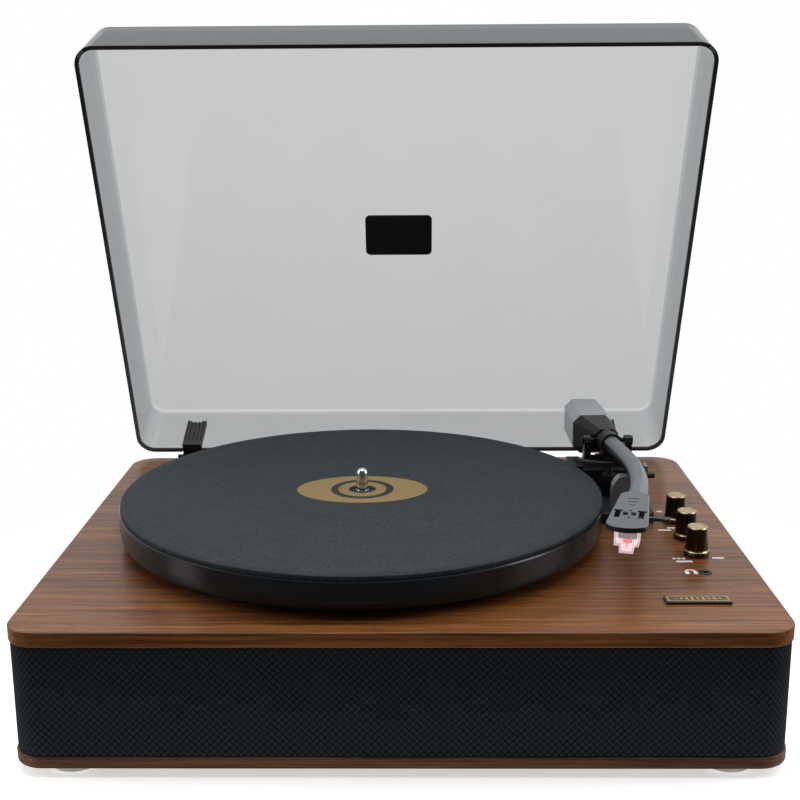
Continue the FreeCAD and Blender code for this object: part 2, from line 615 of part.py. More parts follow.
node("motor_pulley", fuse(rod(MOTOR_SHAFT, f"{PULLEY_Z} - ({can_top}) + 12", *MOTOR_AT,
                              f"{can_top} - 12"),
                          turned([(0, 0), ("pulley_radius + 1.2", 0), ("pulley_radius + 1.2", 0.8),
                                  ("pulley_radius", 1.2), ("pulley_radius", "belt_width + 1.8"),
                                  ("pulley_radius + 1.2", "belt_width + 2.2"),
                                  ("pulley_radius + 1.2", "belt_width + 3"),
                                  (0, "belt_width + 3")], *MOTOR_AT, PULLEY_Z)))


def belt_loop(extra):
    """A loop round the drive ring and the pulley, as a face that stands out by extra."""
    big = size("ring_radius") + extra
    small = size("pulley_radius") + extra
    reach = size("motor_reach")
    lean = math.acos((big - small) / reach)
    far = Vector(reach, 0, 0)
    ends = [Vector(math.cos(lean), math.sin(lean), 0), Vector(math.cos(lean), -math.sin(lean), 0)]
    path = [Part.LineSegment(ends[0] * big, far + ends[0] * small),
            Part.Arc(far + ends[0] * small, far + Vector(small, 0, 0), far + ends[1] * small),
            Part.LineSegment(far + ends[1] * small, ends[1] * big),
            Part.Arc(ends[1] * big, Vector(-big, 0, 0), ends[0] * big)]
    return Part.Face(Part.Wire([line.toShape() for line in path]))


BELT_Z = 3.5
gap = size("belt_gap")
loop = belt_loop(gap + size("belt_thick")).cut(belt_loop(gap))
belt = solid_of(loop.extrude(Vector(0, 0, size("belt_width"))))
belt.Placement = FreeCAD.Placement(
    Vector(size("platter_x"), size("platter_y"), size("platter_z") + BELT_Z),
    FreeCAD.Rotation(Vector(0, 0, 1), size("motor_angle")))
node("drive_belt", belt)

# ---------------------------------------------------------------- dust cover, drawn shut


def opened(piece):
    """Swing a piece that is drawn shut up to where the open cover holds it."""
    piece.Placement = FreeCAD.Placement(Vector(), FreeCAD.Rotation(Vector(-1, 0, 0), 1))
    piece.setExpression("Placement.Rotation.Angle", bound("open_angle"))
    return place(piece, 0, "tilt_y", "tilt_z")


half_leaf = "leaf_width / 2"
WEB_LOW = 0.5
WEB_TOP = 4.5
outer = hood(("cover_left", "cover_right"), ("cover_front", "cover_back"), ("rim_z", "cover_top"),
             "cover_lean", "cover_corner", "cover_round")
inner = hood(("cover_left + cover_wall", "cover_right - cover_wall"),
             ("cover_front + cover_wall", "cover_back - cover_wall"),
             ("rim_z", "cover_top - cover_wall"),
             "cover_lean * (cover_height - cover_wall) / cover_height",
             "cover_corner - cover_wall", "cover_round / 2")
notches = [box((f"{x} - {half_leaf} - {SIDE_GAP}", f"{x} + {half_leaf} + {SIDE_GAP}"),
               ("cover_back - cover_wall - 1", "cover_back + 1"), ("rim_z", f"rim_z + {WEB_TOP} + 0.1"))
           for x in HINGES.values()]
node("dust_cover", opened(cut(outer, inner, *notches)))

inside_back = "cover_back - cover_wall"
for side, x in HINGES.items():
    leaf_x = (f"{x} - {half_leaf}", f"{x} + {half_leaf}")
    plate = box(leaf_x, (f"{inside_back} - leaf_thick", inside_back),
                (f"rim_z + {WEB_LOW}", "rim_z + 1 + leaf_rise"))
    web = box(leaf_x, (f"{inside_back} - leaf_thick", "hinge_y + knuckle_radius"),
              (f"rim_z + {WEB_LOW}", f"rim_z + {WEB_TOP}"))
    drop = box(leaf_x, ("hinge_y - knuckle_radius", "hinge_y + knuckle_radius"),
               ("hinge_z", f"rim_z + {WEB_TOP}"))
    knuckle = rod("knuckle_radius", "leaf_width", leaf_x[0], "hinge_y", "hinge_z", "X")
    dish = rod("leaf_width * 0.62", 40.0, x, f"{inside_back} - 30",
               "rim_z + 1 + leaf_rise + leaf_width * 0.42", "Y")
    grooves = [box((f"{x} + {step * 3.0} - 0.6", f"{x} + {step * 3.0} + 0.6"),
                   (f"{inside_back} - leaf_thick - 1", f"{inside_back} - leaf_thick + 0.9"),
                   (f"rim_z + {WEB_TOP} + 1", "rim_z + leaf_rise + 2")) for step in range(-2, 3)]
    bore = rod("pin_radius + running_gap", "leaf_width", leaf_x[0], "hinge_y", "hinge_z", "X")
    node(f"hinge_leaf_{side}", opened(cut(fuse(plate, web, drop, knuckle), dish, bore, *grooves)))

nameplate = board(("cover_shift - plate_width / 2", "cover_shift + plate_width / 2"),
                  ("plate_y - plate_depth / 2", "plate_y + plate_depth / 2"),
                  ("cover_top - cover_wall - plate_thick", "cover_top - cover_wall"), "3.5")
node("cover_plate", opened(group([nameplate])))
round_in = "cover_corner - (cover_corner - cover_wall / 2) * cos(45)"
bumpers = []
for x, turn in ((f"cover_left + {round_in}", -45), (f"cover_right - ({round_in})", 45)):
    pad = group([box(("-2.6", "2.6"), ("-1.1", "1.1"), ("-0.8", "0"))])
    pad.Placement = FreeCAD.Placement(Vector(), FreeCAD.Rotation(Vector(0, 0, 1), turn))
    bumpers.append(place(pad, x, f"cover_front + {round_in}", "rim_z"))
node("cover_bumpers", opened(group(bumpers)))

STRAP_DROP = 4.5
wing_z = ("deck_under + edge_round", "deck_z - edge_round")
strap_z = (f"hinge_z - knuckle_radius - {STRAP_DROP}", "hinge_z - knuckle_radius - 0.5")
bracket_y = ("half_depth", f"half_depth + {BRACKET_THICK}")
for side, x in HINGES.items():
    bracket_x = (f"{x} - {KNUCKLE_END} - {EAR}", f"{x} + {KNUCKLE_END} + {EAR}")
    sides = ((bracket_x[0], f"{x} - {KNUCKLE_END}"), (f"{x} + {KNUCKLE_END}", bracket_x[1]))
    metal = [box(bracket_x, bracket_y, strap_z),
             box((f"{bracket_x[0]} - {WING}", bracket_x[0]), bracket_y, wing_z),
             box((bracket_x[1], f"{bracket_x[1]} + {WING}"), bracket_y, wing_z)]
    for ear_x in sides:
        metal.append(box(ear_x, ("half_depth", "hinge_y"), (strap_z[0], "hinge_z + knuckle_radius")))
        metal.append(rod("knuckle_radius", EAR, ear_x[0], "hinge_y", "hinge_z", "X"))
    pin_hole = rod("pin_radius", f"leaf_width + {2 * (EAR + SIDE_GAP)}", bracket_x[0],
                   "hinge_y", "hinge_z", "X")
    screw_holes = [rod(HINGE_SCREW["shank"], 4.0, f"{x} {sign} ({KNUCKLE_END} + {EAR + WING / 2})",
                       "half_depth - 1", "deck_z - top_thick / 2", "Y") for sign in "-+"]
    node(f"hinge_base_{side}", cut(fuse(*metal), pin_hole, *screw_holes))
node("hinge_pins", group([rod("pin_radius", f"leaf_width + {2 * (EAR + SIDE_GAP)}",
                              f"{x} - {half_leaf} - {SIDE_GAP + EAR}", "hinge_y", "hinge_z", "X")
                          for x in HINGES.values()]))

# ---------------------------------------------------------------- tonearm base
PIVOT_AT = ("pivot_x", "pivot_y")
TOWER = 11.3
TURRET = TOWER + 2.5
POST_RADIUS = 3.0
POST_TOP = 16.2
SHAFT_RADIUS = 2.0
base_x = ("pivot_x - 26.5", "pivot_x + 20.5")
tower_y = ("pivot_y - 17", "pivot_y + 7")
base_plate = board(base_x, ("pivot_y - 73", "pivot_y + 33"), ("deck_z", "arm_deck"), "6", "1.2",
                   both=False)
tower = box(base_x, tower_y, ("arm_deck", f"arm_deck + {TOWER}"))
cheek = box((base_x[0], f"{base_x[0]} + 8.5"), tower_y, ("arm_deck", f"arm_deck + {TOWER + 3}"))
turret = rod(8.5, TURRET, *PIVOT_AT, "arm_deck")
CUE_AT = ("pivot_x - cue_radius * sin(5)", "pivot_y - cue_radius")
cue_boss = rod(5.0, 14.0, *CUE_AT, "arm_deck")
LEVER = {"y": "pivot_y - 29", "z": "arm_deck + 6.5"}
LEVER_BLOCK = 8.0
lever_x = "pivot_x + 8.5"
lever_block = box((lever_x, f"{lever_x} + {LEVER_BLOCK}"), (f"{LEVER['y']} - 5", f"{LEVER['y']} + 5"),
                  ("arm_deck", "arm_deck + 10"))


def platter_room():
    """The round space that fixed pieces leave beside the platter."""
    return rod("platter_radius + platter_clear", 60.0, *PLATTER_AT, "deck_z")


post_bore = rod(POST_RADIUS, 30.0, *PIVOT_AT, "arm_deck")
cue_bore = rod(f"{SHAFT_RADIUS} + running_gap", 20.0, *CUE_AT, "arm_deck + 1")
lever_bore = rod(f"{SHAFT_RADIUS} + running_gap", LEVER_BLOCK, lever_x, LEVER["y"], LEVER["z"], "X")
node("tonearm_base", cut(fuse(base_plate, tower, cheek, turret, cue_boss, lever_block),
                         platter_room(), post_bore, cue_bore, lever_bore))
node("arm_pivot_post", fuse(rod(POST_RADIUS, POST_TOP, *PIVOT_AT, "arm_deck"),
                            rod(POST_RADIUS - 0.6, POST_TOP + 1.2, *PIVOT_AT, "arm_deck")))

REST = ("pivot_x + 6.6", "pivot_y - 63")
REST_HALF = 4.0
lip = "arm_z - tube_radius - 0.5"
rest_outline = [(-13, "arm_deck"), (9, "arm_deck"), (9, "arm_z + 1"),
                ("tube_radius + 1.2", "arm_z + 1"), ("tube_radius + 1.2", lip), (-6, lip),
                (-8.2, lip), (-10.6, "arm_z - 8.5"), (-12.4, "arm_z - 12"),
                (-13, "arm_z - 17")]
rest = across([(f"{REST[0]} + ({x})", z) for x, z in rest_outline],
              f"{REST[1]} - {REST_HALF}", f"{REST[1]} + {REST_HALF}")
saddle = rod("tube_radius + 0.8", 30.0, REST[0], f"{REST[1]} - 15", "arm_z", "Y")
node("arm_rest", cut(rest, saddle, platter_room()))

# ---------------------------------------------------------------- moving arm
pivot = Vector(size("pivot_x"), size("pivot_y"), size("arm_z"))
skew = math.radians(size("arm_skew"))
swept = skew - math.radians(size("arm_bend"))
lean = math.radians(size("weight_skew"))
rearward = Vector(-math.sin(lean), math.cos(lean), 0)


def heading(angle):
    """Direction in plan of an arm run that leans to the right of straight ahead by an angle."""
    return Vector(math.sin(angle), -math.cos(angle), 0)


bend_start = pivot + heading(skew) * size("rear_run")
bend_centre = bend_start + Vector(-math.cos(skew), -math.sin(skew), 0) * size("bend_radius")


def on_bend(angle):
    """A point of the tube's bend, where the arm heads at an angle."""
    return bend_centre + Vector(math.cos(angle), math.sin(angle), 0) * size("bend_radius")


bend_end = on_bend(swept)
shell_axis = heading(swept)
tube_end = bend_end + shell_axis * size("front_run")
NECK = 6.0
PIVOT_PIN = 1.6


def tube(radius, start, end):
    """The bent tube as a solid of one radius."""
    runs = [Part.LineSegment(start, bend_start).toShape(),
            Part.Arc(bend_start, on_bend((skew + swept) / 2), bend_end).toShape(),
            Part.LineSegment(bend_end, end).toShape()]
    section = Part.Wire(Part.makeCircle(radius, start, heading(skew)))
    return Part.Wire(runs).makePipeShell([section], True, True)


tube_start = pivot + heading(skew) * NECK
hollow = tube(size("tube_radius") - size("tube_wall"), tube_start, tube_end)
node("arm_tube", solid_of(tube(size("tube_radius"), tube_start, tube_end).cut(hollow)))


def octagon(side, chamfer, along, aside=0.0, lift=0.0):
    """An eight-sided outline across the arm's rear axis, set off to its left by aside."""
    across = Vector(rearward.y, -rearward.x, 0)
    half = side / 2
    near = half - chamfer
    points = [(near, half), (half, near), (half, -near), (near, -half),
              (-near, -half), (-half, -near), (-half, near), (-near, half)]
    centre = pivot + rearward * along - across * aside + Vector(0, 0, lift)
    corners = [centre + across * a + Vector(0, 0, b) for a, b in points]
    return Part.makePolygon(corners + corners[:1])


side, chamfer, aside = size("weight_side"), size("weight_chamfer"), size("weight_aside")
start, end, taper = size("weight_start"), size("weight_end"), size("weight_taper")
AXIS_DROP = 0.0
PIVOT_SIDE = 15.0
END_SIDE = side - 3.0


def rear_body(*sections):
    """A body along the rear axis through eight-sided (side, along) sections."""
    return Part.makeLoft([octagon(across, chamfer, along, aside, AXIS_DROP)
                          for across, along in sections], True, True)


weight = rear_body((side, start), (side, end - taper))
weight = weight.fuse(rear_body((side, end - taper), (END_SIDE, end)))
node("counterweight", solid_of(weight.removeSplitter()))
wedge = Part.makeLoft([octagon(PIVOT_SIDE, 3.0, 0.0),
                       octagon(side, chamfer, start, aside, AXIS_DROP)], True, True)
collar = Part.makeCylinder(size("tube_radius") + 2.0, NECK + 6.0,
                           pivot + heading(skew) * (NECK + 6.0), heading(skew) * -1)
socket = Part.makeCylinder(size("tube_radius"), 20.0, tube_start, heading(skew))
pin_socket = Part.makeCylinder(PIVOT_PIN + size("running_gap"), 40.0, pivot - Vector(20, 0, 0),
                               Vector(1, 0, 0))
node("arm_housing", solid_of(wedge.fuse(collar).cut(socket).cut(pin_socket).removeSplitter()))

YOKE = {"half": 16.0, "ear": 4.5, "low": 0.3, "round": 3.6}
YOKE_Y = ("pivot_y - 6.5", "pivot_y + 3")
turret_top = f"arm_deck + {TURRET}"
yoke_z = f"{turret_top} + {YOKE['low']}"
yoke = [box((f"pivot_x - {YOKE['half']}", f"pivot_x + {YOKE['half']}"),
            YOKE_Y, (yoke_z, f"{yoke_z} + 2"))]
for low in (-YOKE["half"], YOKE["half"] - YOKE["ear"]):
    yoke.append(box((f"pivot_x + {low}", f"pivot_x + {low + YOKE['ear']}"),
                    YOKE_Y, (yoke_z, "arm_z + 0.5")))
    yoke.append(rod(YOKE["round"], YOKE["ear"], f"pivot_x + {low}", "pivot_y - 0.5", "arm_z", "X"))
yoke.append(box((f"pivot_x - {YOKE['half']}", f"pivot_x + {YOKE['half']}"),
                ("pivot_y - 6.5", "pivot_y - 4.5"), (yoke_z, "arm_z - tube_radius - 3.5")))
yoke_bore = rod(f"{POST_RADIUS} + running_gap", 10.0, *PIVOT_AT, turret_top)
node("arm_yoke", cut(fuse(*yoke), yoke_bore,
                     rod(PIVOT_PIN, 40.0, "pivot_x - 20", "pivot_y", "arm_z", "X")))
PIN_CAP = 1.2
pivots = []
for sign in (-1, 1):
    low = min(sign * 4.0, sign * (YOKE["half"] + 0.6))
    pin = rod(PIVOT_PIN, YOKE["half"] - 3.4, f"pivot_x + {low}", "pivot_y", "arm_z", "X")
    cap_x = YOKE["half"] if sign > 0 else -YOKE["half"] - PIN_CAP
    cap = rod(3.0, PIN_CAP, f"pivot_x + {cap_x}", "pivot_y", "arm_z", "X")
    pivots.append(fuse(pin, cap))
node("pivot_screws", group(pivots))

# ---------------------------------------------------------------- headshell and cartridge
shell_side = Vector(-shell_axis.y, shell_axis.x, 0)
SHELL_BACK = 18.0


def ahead(along, aside=0.0, z=None):
    """A point measured along the headshell from the bend's end, and to its right."""
    point = bend_end + shell_axis * along + shell_side * aside
    return Vector(point.x, point.y, size("shell_z") if z is None else z)


def shell_block(along, aside, z):
    """A box laid out along the headshell."""
    corners = [ahead(along[0], aside[0], z[0]), ahead(along[1], aside[0], z[0]),
               ahead(along[1], aside[1], z[0]), ahead(along[0], aside[1], z[0])]
    return Part.Face(Part.makePolygon(corners + corners[:1])).extrude(Vector(0, 0, z[1] - z[0]))


def shell_hole(along, aside, radius):
    """An upright hole through the headshell."""
    return Part.makeCylinder(radius, 10.0, ahead(along, aside, size("shell_z") - 3))


rear, front = size("shell_rear"), size("shell_front")
shoulder = SHELL_BACK + size("shell_length") - 6.0
left_back, left_front = ahead(SHELL_BACK, -rear), ahead(shoulder, -front)
right_back, right_front = ahead(SHELL_BACK, rear), ahead(shoulder, front)
shell_edge = [Part.LineSegment(left_back, left_front),
              Part.Arc(left_front, ahead(shoulder + 6.0), right_front),
              Part.LineSegment(right_front, right_back),
              Part.LineSegment(right_back, left_back)]
plate = Part.Face(Part.Wire([line.toShape() for line in shell_edge]))
plate = plate.extrude(Vector(0, 0, size("shell_thick")))
uprights = [edge for edge in plate.Edges if rising(edge)]
plate = plate.makeFillet(size("shell_corner"), uprights)
on_top = level_with(size("shell_z") + size("shell_thick"))
plate = plate.makeFillet(0.8, [edge for edge in plate.Edges if on_top(edge)])
socket_end = Part.makeCylinder(size("tube_radius") + 1.2, 10.0,
                               ahead(size("front_run") - 7, 0, size("arm_z")), shell_axis)
plate = plate.fuse(socket_end)
plate = plate.cut(Part.makeCylinder(size("tube_radius"), 20.0,
                                    ahead(size("front_run") - 20, 0, size("arm_z")), shell_axis))
through = (size("shell_z") - 1, size("shell_z") + size("shell_thick") + 1)
SCREWS_AT = 59.0
SCREW_ASIDE = 2.2
WINDOW_ASIDE = 6.4
windows = []
for aside in (-WINDOW_ASIDE, WINDOW_ASIDE):
    windows.append(shell_block((SCREWS_AT - 5, SCREWS_AT + 6.5), (aside - 1.5, aside + 1.5), through))
    windows.append(shell_block((SCREWS_AT - 6.5, SCREWS_AT - 4), (aside - 2.4, aside + 2.4), through))
    windows.append(shell_hole(SCREWS_AT, math.copysign(SCREW_ASIDE, aside), 0.8))
windows += [shell_hole(SCREWS_AT + along, 0, 0.9) for along in (-6, 6)]
for radius, half in ((28.5, 3.4), (22.5, 2.8), (16.5, 1.8)):
    centre = ahead(SCREWS_AT, 0, through[0])
    ring = Part.makeCylinder(radius, 9.0, centre).cut(Part.makeCylinder(radius - 0.9, 9.0, centre))
    groove = shell_block((SCREWS_AT - radius - 1, SCREWS_AT - 10), (-half, half),
                         (size("shell_z") + 1.2, through[1]))
    windows.append(ring.common(groove))
for opening in windows:
    plate = plate.cut(opening)
node("headshell", solid_of(plate.removeSplitter()))

under = size("shell_z")
LIFT_AT = 52.5
LIFT_THICK = 1.8
bar = shell_block((LIFT_AT - 1.4, LIFT_AT + 1.4), (5.6, 21.5), (under - LIFT_THICK, under))
pad = shell_block((LIFT_AT - 2.2, LIFT_AT + 2.2), (17, 21.5), (under - LIFT_THICK, under))
node("finger_lift", solid_of(bar.fuse(pad).removeSplitter()))
BODY_LOW = under - 8.5
cartridge = shell_block((44, 66), (-5, 5), (BODY_LOW, under))
cartridge = cartridge.fuse(shell_block((66, 71), (-2, 2), (BODY_LOW + 1.6, under)))
slot = shell_block((50, 71), (-2, 2), (BODY_LOW - 1, BODY_LOW + 1.6))
node("cartridge", solid_of(cartridge.cut(slot).removeSplitter()))
TIP_GAP = 2.15
needle_z = size("mat_top") + TIP_GAP
stylus = shell_block((50, 71.5), (-2, 2), (BODY_LOW - 0.8, BODY_LOW + 1.6))
stylus = stylus.cut(shell_block((56, 80), (-3, 3), (BODY_LOW - 2, BODY_LOW + 0.2)))
arm_tip = Part.makeCone(0.25, 0.6, BODY_LOW + 0.2 - needle_z, ahead(70, 0, needle_z))
node("stylus", solid_of(stylus.fuse(arm_tip).removeSplitter()))
node("headshell_screws", group([solid_of(
    Part.makeCylinder(1.4, 0.8, ahead(SCREWS_AT, aside, under + size("shell_thick"))).fuse(
        Part.makeCylinder(0.8, size("shell_thick"), ahead(SCREWS_AT, aside, under))))
    for aside in (-SCREW_ASIDE, SCREW_ASIDE)]))

GUARD_LOW = size("mat_top") + 0.85
guard = shell_block((60.5, 75), (-6.5, 6.5), (GUARD_LOW + 3.9, under - 0.4))
guard = guard.fuse(shell_block((60.5, 75), (-3.7, 3.7), (GUARD_LOW, GUARD_LOW + 3.9)))
guard = guard.cut(shell_block((60, 73.8), (-5.4, 5.4), (GUARD_LOW + 5.0, under)))
guard = guard.cut(shell_block((60, 73.8), (-2.6, 2.6), (GUARD_LOW + 1.0, GUARD_LOW + 5.0)))
node("stylus_guard", solid_of(guard.removeSplitter()))

# ---------------------------------------------------------------- cueing
cue_radius = size("cue_radius")
platform_top = size("arm_z") - size("tube_radius") - size("cue_gap")
PLATFORM = 2.5
flat_pivot = Vector(pivot.x, pivot.y, platform_top - PLATFORM)
platform = Part.makeCylinder(cue_radius + 2, PLATFORM, flat_pivot, Vector(0, 0, 1), 56)
platform = platform.cut(Part.makeCylinder(cue_radius - 2, PLATFORM, flat_pivot))
platform.rotate(flat_pivot, Vector(0, 0, 1), -132)
cue_foot = Vector(pivot.x - cue_radius * math.sin(math.radians(5)), pivot.y - cue_radius,
                  size("arm_deck") + 5)
stem = Part.makeCylinder(SHAFT_RADIUS, platform_top - 1.5 - cue_foot.z, cue_foot)
node("cue_lift", solid_of(platform.fuse(stem).removeSplitter()))
handle_x = f"{lever_x} + {LEVER_BLOCK + SIDE_GAP}"
node("cue_lever", fuse(rod(SHAFT_RADIUS, LEVER_BLOCK + 0.6, lever_x, LEVER["y"], LEVER["z"], "X"),
                       box((handle_x, f"{handle_x} + 2"),
                           (f"{LEVER['y']} - {SHAFT_RADIUS}", f"{LEVER['y']} + {SHAFT_RADIUS}"),
                           (f"{LEVER['z']} - 2.4", f"{LEVER['z']} + 5")),
                       rod(SHAFT_RADIUS, 10.5, handle_x, LEVER["y"], f"{LEVER['z']} + 5", "X")))

# ---------------------------------------------------------------- checks and writing
doc.recompute()
for item in doc.Objects:
    if {"Invalid", "Error"} & set(item.State):
        raise RuntimeError(f"{item.Name} ({item.Label}) failed: {item.State}")
os.makedirs("parts", exist_ok=True)
for piece in NODES:
    shape = piece.Shape
    if shape.isNull() or not shape.isValid() or not shape.Solids:
        raise RuntimeError(f"{piece.Label} has no valid shape")
    shape.exportStep(f"parts/{piece.Label}.step")
print(f"{len(NODES)} nodes written")
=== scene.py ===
"""Looks of a belt-driven record player: finishes, cloth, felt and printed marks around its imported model."""

import json
import logging
import math
from dataclasses import dataclass, field
from enum import Enum
from typing import Any, Callable, Mapping, Sequence

import bmesh
import bpy
from mathutils import Matrix, Vector


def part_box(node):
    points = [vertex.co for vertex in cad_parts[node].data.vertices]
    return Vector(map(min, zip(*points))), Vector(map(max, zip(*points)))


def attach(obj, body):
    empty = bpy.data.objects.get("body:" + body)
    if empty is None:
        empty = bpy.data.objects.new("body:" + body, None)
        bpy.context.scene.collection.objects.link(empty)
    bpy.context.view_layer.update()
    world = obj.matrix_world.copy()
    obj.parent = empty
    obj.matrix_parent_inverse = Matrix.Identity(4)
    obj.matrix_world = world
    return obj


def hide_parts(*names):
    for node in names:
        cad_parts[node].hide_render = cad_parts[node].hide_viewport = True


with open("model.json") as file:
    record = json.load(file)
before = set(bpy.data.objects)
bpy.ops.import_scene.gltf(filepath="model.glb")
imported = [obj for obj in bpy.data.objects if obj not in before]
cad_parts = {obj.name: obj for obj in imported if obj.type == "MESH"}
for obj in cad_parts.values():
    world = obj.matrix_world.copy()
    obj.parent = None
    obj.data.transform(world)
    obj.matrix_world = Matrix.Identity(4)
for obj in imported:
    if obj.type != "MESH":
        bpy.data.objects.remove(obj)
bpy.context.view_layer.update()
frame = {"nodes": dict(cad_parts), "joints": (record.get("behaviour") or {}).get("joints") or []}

LOG = logging.getLogger("record_player")
WHITE = (1.0, 1.0, 1.0, 1.0)
UP = (0.0, 0.0, 1.0)
Colour = tuple[float, float, float]
Point = tuple[float, float, float]
Flat = tuple[float, float]


def shade(red: int, green: int, blue: int) -> Colour:
    """A colour given as it is seen on a screen, as the linear colour that a shader takes.

    Args:
        red: red part, 0 to 255.
        green: green part, 0 to 255.
        blue: blue part, 0 to 255.

    Returns:
        The three linear parts, 0 to 1.
    """
    def linear(part: int) -> float:
        """One part of the colour made linear."""
        share = part / 255.0
        return share / 12.92 if share <= 0.04045 else ((share + 0.055) / 1.055) ** 2.4

    return linear(red), linear(green), linear(blue)


# ---------------------------------------------------------------------- shader maths


def math_method(operation: str, reflected: bool = False) -> Callable[..., "Signal"]:
    """A method of Signal that adds one Math node.

    Args:
        operation: the node's operation.
        reflected: whether the other value stands first.

    Returns:
        The method.
    """
    def method(self: "Signal", other: Any = 0.0) -> "Signal":
        """The operation's result with a number or a Signal."""
        values = {0: other, 1: self} if reflected else {0: self, 1: other}
        return self.tree.signal("ShaderNodeMath", 0, {"operation": operation}, values)

    return method


class Signal:
    """One socket's value inside a node tree. Arithmetic on it adds Math nodes."""

    def __init__(self, tree: "NodeTree", socket: bpy.types.NodeSocket) -> None:
        """Wrap an output socket of a node tree."""
        self.tree = tree
        self.socket = socket

    __add__ = math_method("ADD")
    __radd__ = math_method("ADD", reflected=True)
    __sub__ = math_method("SUBTRACT")
    __rsub__ = math_method("SUBTRACT", reflected=True)
    __mul__ = math_method("MULTIPLY")
    __rmul__ = math_method("MULTIPLY", reflected=True)
    __truediv__ = math_method("DIVIDE")
    __pow__ = math_method("POWER")
    least = math_method("MINIMUM")
    most = math_method("MAXIMUM")
    apart = math_method("ABSOLUTE")
    wave = math_method("SINE")
    side = math_method("SIGN")

    def band(self, low: float, high: float) -> "Signal":
        """Rise smoothly from 0 at low to 1 at high.

        Args:
            low: the value that gives 0.
            high: the value that gives 1; below low for a falling band.

        Returns:
            The share as a Signal.
        """
        if high < low:
            return 1 - self.band(high, low)
        return self.tree.signal("ShaderNodeMapRange", 0, {"interpolation_type": "SMOOTHSTEP"},
                                {0: self, 1: low, 2: high, 3: 0.0, 4: 1.0})


class NodeTree:
    """A node tree under construction."""

    def __init__(self, owner: bpy.types.Material | bpy.types.World) -> None:
        """Start an empty tree.

        Args:
            owner: the material or the surroundings that the tree belongs to.
        """
        owner.use_nodes = True
        self.tree = owner.node_tree
        self.tree.nodes.clear()

    def node(self, kind: str, settings: Mapping[str, Any] | None = None,
             values: Mapping[Any, Any] | None = None) -> bpy.types.Node:
        """Add a node, set it up and feed it.

        Args:
            kind: the node's type.
            settings: its own properties; "stops" gives a colour ramp's (place, colour) pairs.
            values: numbers, colours or Signals for its input sockets, by name or number.

        Returns:
            The node.
        """
        made = self.tree.nodes.new(kind)
        for key, value in (settings or {}).items():
            if key == "stops":
                ramp = made.color_ramp
                for extra in range(len(value) - len(ramp.elements)):
                    ramp.elements.new(0.5 + extra * 0.01)
                for element, (place, colour) in zip(ramp.elements, value):
                    element.position = place
                    element.color = (*colour, 1.0)
            else:
                setattr(made, key, value)
        for key, value in (values or {}).items():
            self.feed(made.inputs[key], value)
        return made

    def signal(self, kind: str, output: str | int, settings: Mapping[str, Any] | None = None,
               values: Mapping[Any, Any] | None = None) -> Signal:
        """Add a node as the method above does, and take one of its outputs by name or number."""
        return Signal(self, self.node(kind, settings, values).outputs[output])

    def feed(self, socket: bpy.types.NodeSocket, value: Any) -> None:
        """Give an input socket a constant or a link.

        Args:
            socket: the input.
            value: a number, a colour or a Signal.
        """
        if isinstance(value, Signal):
            self.tree.links.new(value.socket, socket)
        elif socket.type == "RGBA" and len(value) == 3:
            socket.default_value = (*value, 1.0)
        else:
            socket.default_value = value


